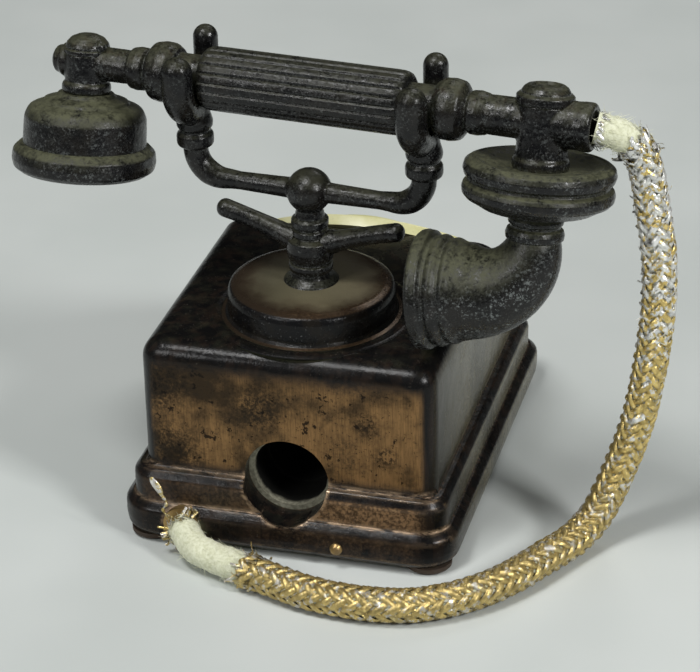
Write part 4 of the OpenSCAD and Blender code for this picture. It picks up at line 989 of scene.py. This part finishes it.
def yoke_shape():
    """The U bar, thin in the middle and thick at its bends, cast on the post's ball."""
    half = [(0, BAR_Z), (3, BAR_Z), (6, BAR_Z), (8, BAR_Z), (9.2, BAR_Z + 0.02)]
    half += [(FORK_X - BEND_R + BEND_R * sin(a), BAR_Z + BEND_R - BEND_R * cos(a)) for a in quarter(8)]
    half += [(FORK_X, 42.3)]
    path = smooth_path([(-x, 0, z) for x, z in half[::-1]] + [(x, 0, z) for x, z in half[1:]], 4)

    def radius(p):
        x = abs(p.x)
        if p.z > 39.5:
            return 1.36
        if x < 8:
            return 1.22 - 0.22 * (x / 8) ** 0.8
        return 1 + 0.36 * min((x - 8) / 3.5, 1) ** 1.2

    bar = sweep(path, [radius(p) for p in path], 32, side=Y)
    ball = [(2.5 * cos(a), BAR_Z + 2.5 * sin(a), 0) for a in (radians(d) for d in range(-56, 90, 8))]
    neck = [(0, 35.3), (1.72, 35.3, 0), (1.62, 35.6, 0.3), (1.5, 36.1, 0.3)]
    return bar + lathe(neck + ball + [(0, BAR_Z + 2.5)], segments=64)


metal("yoke_cast", yoke_shape().at(in_cradle), mat_cradle, "base", "cradle_yoke", sharp=180, fuse=(0.14, 5))


def fork_shape():
    """A ringed stalk under a U whose front prong is shorter and fatter than the rear one."""
    stalk = lathe([
        (0, 41.8), (1.45, 41.8, 0), (1.72, 41.95, 0.2), (2.04, 42.2, 0.4), (2.04, 43.3, 0.5),
        (1.65, 43.75, 0.15), (1.6, 43.95), (1.95, 44.15, 0.3), (2.02, 44.8, 0.4), (1.85, 45.4, 0.3),
        (1.7, 45.9, 0.3), (1.6, 47.6), (0, 47.6),
    ], 0.1, 64)
    bend, cz, r, fat, front_top, rear_top = 3.85, 50.16, 1.36, 0.34, 53.6, 54.4

    def on_arc(a):
        """The bend swells towards the front prong."""
        more = fat * (1 + cos(a)) / 2
        return -(bend + more * 0.8) * cos(a), cz - (bend + more * 0.3) * sin(a), r + more

    def prong(y, top, radius):
        """From the rounded tip down to the bend."""
        tip = [(y, top - radius + radius * sin(a), max(radius * cos(a), 0.02)) for a in quarter(9)[::-1]]
        return tip + [(y, (top - radius + cz) / 2, radius)]

    arc = [on_arc(pi * k / 24) for k in range(25)]
    stations = prong(arc[0][0], front_top, arc[0][2]) + arc + prong(bend, rear_top, r)[::-1]
    path = [Vector((0, y, z)) for y, z, _r in stations]
    return stalk + sweep(path, [radius for _y, _z, radius in stations], 32, side=X)


for name, side in (("left", -1), ("right", 1)):
    fork = fork_shape().at(in_cradle @ moved(FORK_X * side, 0, 0))
    metal(f"fork_cast_{name}", fork, mat_cradle, "base", f"fork_{name}", sharp=180, fuse=(0.13, 7))


# ---- handset bar
def grip_shape(flutes=20, per=16, r0=3.45, half=11.6, depth=0.2, groove_width=0.13):
    """The grip between its two beads, with narrow grooves that fade out at the ends."""
    ends = [(0, 2.55), (0, 2.75), (0.1, 3), (0.3, 3.22), (0.6, 3.36), (1, 3.43), (1.5, r0)]
    stations = [(x - half, r) for x, r in ends] + [(x, r0) for x in (-8, -4, 0, 4, 8)]
    stations += [(half - x, r) for x, r in ends[::-1]]
    rings = []
    for x, r in stations:
        fade = min(1, max(0, (half - abs(x)) / 0.9))
        ring = []
        for i, a in enumerate(full_turn(flutes * per)):
            off = (i % per) / per
            gap = min(off, 1 - off) * tau * r0 / flutes
            groove = exp(-(gap / groove_width) ** 2) * depth * fade
            ring.append(Vector((x, (r - groove) * cos(a), (r - groove) * sin(a))))
        rings.append(ring)
    return loft(rings)


grip = grip_shape().at(in_handset)
metal("fluted_grip", grip, mat_grip, "handset", "grip_shell", "handset_core", sharp=50)

for name, turn, hub, tube in (("left", pi, 23.4, 1.86), ("right", 0, 24, 2.12)):
    bulb = [
        (0, 11.5), (2.3, 11.5, 0), (2.3, 14.5, 0.15), (2.75, 14.62, 0.25), (3.22, 15.3, 0.7),
        (3.3, 16.3, 0.9), (3.1, 17.4, 0.7),
    ]
    bead = [
        (2.3, 17.95, 0.2), (2, 18.05, 0.1), (2.3, 18.4, 0.35), (2.36, 19.2, 0.6), (2.2, 20, 0.4),
        (tube - 0.04, 20.25, 0.15), (tube - 0.02, 20.8, 0.3),
    ]
    stem = lathe(bulb + bead + [(tube, hub), (0, hub)], 0.15, 80).at(along_x)
    stem = stem.at(in_handset @ spun(turn, "Z"))
    metal(f"turned_stem_{name}", stem, mat_dark, "handset", f"stem_{name}")

# ---- earpiece
hub = lathe([
    (0, -3.3), (2.45, -3.3, 0), (2.66, -3.15, 0.1), (2.7, -2.6, 0.3), (2.58, -2.25), (2.36, -2.1, 0.1),
    (2.42, -1.2, 0.5), (2.5, 0.5, 0.6), (2.5, 1, 0.1), (0, 1),
], 0.15, 64)
hub += lathe([
    (0, -3.8), (0.9, -3.8, 0.3), (1.5, -3.4, 0.4), (1.6, -2.8, 0.2), (1.88, -2.6, 0.3), (1.92, 0.9),
    (1.88, 2.6), (0, 2.6),
], 0.15, 48).at(along_x)
metal("ear_hub_cast", hub.at(at_ear), mat_dark, "handset", "earpiece_hub", sharp=180, fuse=(0.11, 9))

bell = lathe([
    (0, -9.6), (6.4, -9.6, 0), (6.75, -9.2, 0), (6.72, -7.4, 1.6), (6.66, -6, 1.2), (6.2, -4.95, 1.3),
    (5.2, -4.55, 0.6), (4.8, -4.42, 0.15), (4.55, -4.12), (3.7, -3.85, 0.6), (3.3, -3.7, 0.1), (3, -3.35),
    (0, -3.2),
], segments=128)
metal("ear_bell_cast", bell.at(at_ear), mat_capsule, "handset", "earpiece_body")

lip = lathe([
    (0, -10.8), (3.8, -10.8, 0.3), (6.2, -12.05, 0.3), (6.9, -12.15, 0.4), (7.7, -11.6, 0.6),
    (7.9, -10.75, 0.7), (7.78, -9.75, 0.6), (7.15, -9.12, 0.5), (6.7, -9, 0.1), (0, -9),
], segments=128)
holes = [rod_shape(0.45, polar(a, 2.2, -13), polar(a, 2.2, -10.3), 24).at(at_ear) for a in full_turn(6)]
metal("ear_lip_cast", lip.at(at_ear), mat_capsule, "handset", "earpiece_cap", sharp=40, cuts=holes)

cap = lathe([
    (0, 0.85), (2.35, 0.85, 0), (2.58, 1), (2.58, 1.42, 0.15), (2.32, 1.54, 0.05), (2.42, 1.7, 0.12),
    (2.28, 2.15, 0.5), (1.8, 2.7, 0.6), (1, 3.05, 0.6), (0, 3.15),
], 0.1, 72)
nub = lathe([(0, -0.2), (0.62, -0.2, 0), (0.6, 0.35, 0.3), (0, 0.62)], segments=24)
nub = nub.at(moved(2.05, -1.1, 2) @ spun(radians(55), "Y"))
metal("ear_cap_screw", (cap + nub).at(at_ear), mat_dark, "handset", "earpiece_screw")

# ---- mouthpiece
hub = lathe([
    (0, -5.2), (2.85, -5.2, 0), (3.02, -4.6, 0.2), (3, -4, 0.3), (2.76, -3.65, 0.25), (2.68, -2.8, 0.5),
    (2.72, 0, 0.5), (2.8, 1.9, 0.1), (0, 2),
], 0.15, 64)
hub += lathe([
    (0, -2.9), (2.12, -2.9, 0), (2.2, -1.8, 0.3), (2.45, -1.2, 0.5), (2.55, 2.6, 0.5), (2.5, 3.6, 0.2),
    (2.58, 4.3, 0.2), (2.58, 5.15, 0.35), (2.25, 5.46, 0.2), (1.8, 5.4, 0.1), (1.66, 4.9, 0.1), (0, 4.85),
], 0.15, 64).at(along_x)
metal("mouth_hub_cast", hub.at(at_mouth), mat_dark, "handset", "mouth_hub", sharp=180, fuse=(0.12, 7))

nut = lathe([
    (0, 1.9), (2.95, 1.9, 0), (3.08, 2.15, 0.15), (3.05, 2.75, 0.25), (2.75, 3), (2.6, 3.04, 0.05),
    (2.55, 3.22), (2.3, 3.6, 0.35), (1.95, 3.84, 0.15), (1.6, 3.86, 0.12), (1.35, 3.56, 0.15),
    (1.05, 3.52, 0.08), (0.9, 3.72, 0.08), (0.6, 3.66), (0, 3.6),
], 0.1, 80)
metal("dome_nut_cast", nut.at(at_mouth), mat_dark, "handset", "dome_nut")

capsule = lathe([
    (0, -12.45), (2.75, -12.45, 0), (3.05, -12.3), (3.12, -11.75, 0.35), (2.95, -11.25, 0.2),
    (2.62, -11.1, 0.1), (2.6, -10.85, 0.1), (2.88, -10.68), (2.95, -10.3, 0.25), (2.78, -9.95),
    (2.85, -9.72), (4.2, -9.62, 0.9), (5.9, -9.15, 1), (7, -8.5, 0.6), (7.5, -8.25, 0.2), (7.92, -7.8, 0.4),
    (8, -7.2, 0.4), (7.85, -6.7, 0.3), (7.35, -6.5), (7.28, -6.15), (7.8, -5.9, 0.3), (8.02, -5.2, 0.5),
    (7.85, -4.5, 0.4), (7.4, -4.16, 0.2), (7.15, -4.12, 0.1), (7, -4.25, 0.1), (6.75, -4.28, 0.08),
    (6.6, -4.2, 0.08), (6.35, -4.25, 0.1), (5.2, -4.62, 0.6), (3.2, -4.85, 0.3), (2.7, -4.85), (0, -4.85),
], 0.15, 144)
metal("mouth_capsule_cast", capsule.at(at_mouth), mat_capsule, "handset", "mouth_capsule")


def horn_shape():
    """The elbow and its flare, with the two rings and the lip at its mouth, hollow."""
    top, bend, turn, straight = -12.46, 6.6, radians(84), 4.9
    neck_r, widening, rim_step = 2.78, 3.2, 0.4
    arc = bend * turn
    total = arc + straight
    swells = ((2.9, 0.5, 0.22), (1.5, 0.5, 0.26), (2.2, 0.26, -0.16), (0.7, 0.26, -0.16))

    def heading(s):
        a = min(s / bend, turn)
        return a, Vector((-sin(a), 0, -cos(a)))

    def place(s):
        a, out = heading(s)
        return Vector((-bend * (1 - cos(a)), 0, top - bend * sin(a))) + out * max(s - arc, 0)

    def radius(s):
        r = neck_r + widening * (max(s, 0) / total) ** 0.86
        r += sum(high * exp(-((s - total + back) / wide) ** 2) for back, wide, high in swells)
        return r + rim_step * min(max(s - total + 0.45, 0) / 0.3, 1)

    stations = [(total * k / 110, radius(total * k / 110)) for k in range(111)]
    stations += [(total + s, r) for s, r in (
        (0.15, 6.36), (0.45, 6.46), (0.85, 6.4), (1.1, 6.2), (1.2, 5.85), (1.17, 5.45), (0.9, 5.1),
        (0.3, 4.75), (-1.5, 4.55), (-4, 4.2),
    )]
    stations += [(arc * 0.85, 3.4), (arc * 0.5, 2.7), (arc * 0.2, 2.1), (arc * 0.15, 0.05)]
    return loft([ring_round(place(s), Y, heading(s)[1].cross(Y), r, 96) for s, r in stations])


metal("horn_cast", horn_shape().at(at_mouth), mat_horn, "handset", "mouth_horn", "horn_rim", sharp=50)

# ---- dial
PLATE_HALF_X, PLATE_ARCH_R, PLATE_FOOT_Y = 15, 20, 18.325
FINGER_R, FINGER_SLOTS, DIGIT_SIZE = 6.4, 12, 1.9


def plate_outline():
    """The pale plate: arched top, straight sides."""
    centre, top = PLATE_ARCH_R - 1, asin(PLATE_HALF_X / PLATE_ARCH_R)
    ring = []
    for k in range(33):
        a = -top + 2 * top * k / 32
        ring.append(Vector((PLATE_ARCH_R * sin(a), centre - PLATE_ARCH_R * cos(a), 0)))
    return ring + [Vector((PLATE_HALF_X, PLATE_FOOT_Y, 0)), Vector((-PLATE_HALF_X, PLATE_FOOT_Y, 0))]


def drawn_in(points, inset, z):
    """The outline pulled towards its middle, at height z."""
    middle = sum(points, Vector()) / len(points)

    def pulled(value, centre):
        away = value - centre
        return value - inset * copysign(1, away) * min(abs(away) / 6, 1)

    return [Vector((pulled(p.x, middle.x), pulled(p.y, middle.y), z)) for p in points]


outline = plate_outline()
edge = ((0, 0.01), (0, 1.05), (0.06, 1.25), (0.2, 1.37), (0.4, 1.4))
plate = loft([drawn_in(outline, inset, z) for inset, z in edge])
piece("dial_plate_moulded", plate.at(on_slope), mat_cream, "base", "cream_plastic", "dial_plate", sharp=30)

dial_frame = on_slope @ moved(0, DIAL_MID, 0)
finger_angles = [tau * (i + 0.5) / FINGER_SLOTS + pi / 2 for i in range(10)]
wheel = lathe([
    (1.3, 1.6), (8.2, 1.6, 0.1), (8.58, 1.85, 0.2), (8.6, 2.4, 0.2), (8.3, 2.72, 0.25), (7.9, 2.78, 0.1),
    (4.6, 2.62, 0.4), (3.4, 2.75, 0.2), (1.3, 2.8), (1.3, 1.6),
], 0.15, 120)
hole = lathe([(0, 1), (1.25, 1, 0), (1.25, 2.3, 0.3), (1.65, 2.95), (0, 2.95)], segments=40)
holes = [hole.at(dial_frame @ moved(*polar(a, FINGER_R))) for a in finger_angles]
piece(
    "finger_wheel_moulded", wheel.at(dial_frame), mat_cream, "dial_wheel", "cream_plastic", "finger_wheel",
    sharp=40, cuts=holes,
)

spindle = lathe([
    (0, -1.9), (1.15, -1.9, 0), (1.15, 2.9, 0), (2.5, 2.92, 0.05), (2.6, 3.15, 0.15), (2.4, 3.5, 0.2),
    (1.6, 3.6), (1.45, 3.5, 0.08), (0.5, 3.56), (0, 3.58),
], 0.1, 64)
piece("dial_cap", spindle.at(dial_frame), mat_brass, "base", "dial_metal", "dial_spindle")

for i, angle in enumerate(finger_angles):
    name = f"dial_digit_{(i + 1) % 10}"
    text = bpy.data.curves.new("digit", "FONT")
    text.body = name[-1]
    text.size, text.extrude = DIGIT_SIZE * MM, 0.03 * MM
    text.align_x = text.align_y = "CENTER"
    holder = link(bpy.data.objects.new(name, text))
    spot = dial_frame @ moved(*polar(angle, FINGER_R, 1.41)) @ spun(pi, "Z")
    spot.translation *= MM
    mesh = bpy.data.meshes.new_from_object(holder)
    mesh.transform(spot)
    bpy.data.objects.remove(holder)
    finish_piece(link(bpy.data.objects.new(name, mesh)), mat_plate, "base", "cream_plastic")

# ---- carried-over CAD nodes
CAD_MATERIALS = {
    mat_plate: ("bottom_plate",),
    mat_steel: ("plate_screw_left", "plate_screw_right", "sharpener_blade", "blade_screw", "post_screw"),
    mat_alloy: ("sharpener_block",),
    mat_brass: ("cord_ferrule", "finger_stop"),
}
for material, names in CAD_MATERIALS.items():
    for name in names:
        for place in bpy.data.objects[name].material_slots:
            place.link, place.material = "OBJECT", material

# ---- floor and light
floor_mesh = bpy.data.meshes.new("floor")
bm = bmesh.new()
bmesh.ops.create_grid(bm, x_segments=2, y_segments=2, size=1.6)
bm.to_mesh(floor_mesh)
bm.free()
floor = link(bpy.data.objects.new("floor", floor_mesh))
floor_mesh.materials.append(cloth_floor())

CENTRE = Vector((0, -0.005, 0.025))


def add_lamp(name, place, size, power):
    """A square lamp of this size, at a place in metres, that looks at the object."""
    data = bpy.data.lights.new(name, "AREA")
    data.shape, data.size, data.energy = "SQUARE", size, power
    turn = (CENTRE - Vector(place)).to_track_quat("-Z", "Y").to_matrix().to_4x4()
    link(bpy.data.objects.new(name, data)).matrix_world = Matrix.Translation(place) @ turn


add_lamp("lamp_right", (0.46, -0.24, 0.36), 0.12, 2.05)
add_lamp("lamp_left", (-0.3, -0.44, 0.36), 0.14, 0.82)
add_lamp("lamp_top", (-0.14, -0.22, 0.62), 0.17, 2.1)
add_lamp("lamp_back", (0.1, 0.42, 0.5), 0.2, 0.5)

# the sky is bright before the object (-y) and dim behind it
FRONT_GLOW, BACK_GLOW, GLOW = (0.8, 0.84, 0.86), (0.1, 0.11, 0.11), 0.15
bpy.context.scene.world = bpy.data.worlds.new("studio")
sky = Nodes(bpy.context.scene.world)
behind = sky.axis(sky.place["Generated"], 1)
fade = sky.add("MapRange", {"Value": behind, "From Min": 0, "From Max": 0.75}).outputs[0]
light = sky.add("Background", {"Color": sky.mix(fade, FRONT_GLOW, BACK_GLOW), "Strength": GLOW})
sky.add("OutputWorld", {"Surface": light.outputs[0]})

bpy.context.scene.view_settings.view_transform = "Standard"
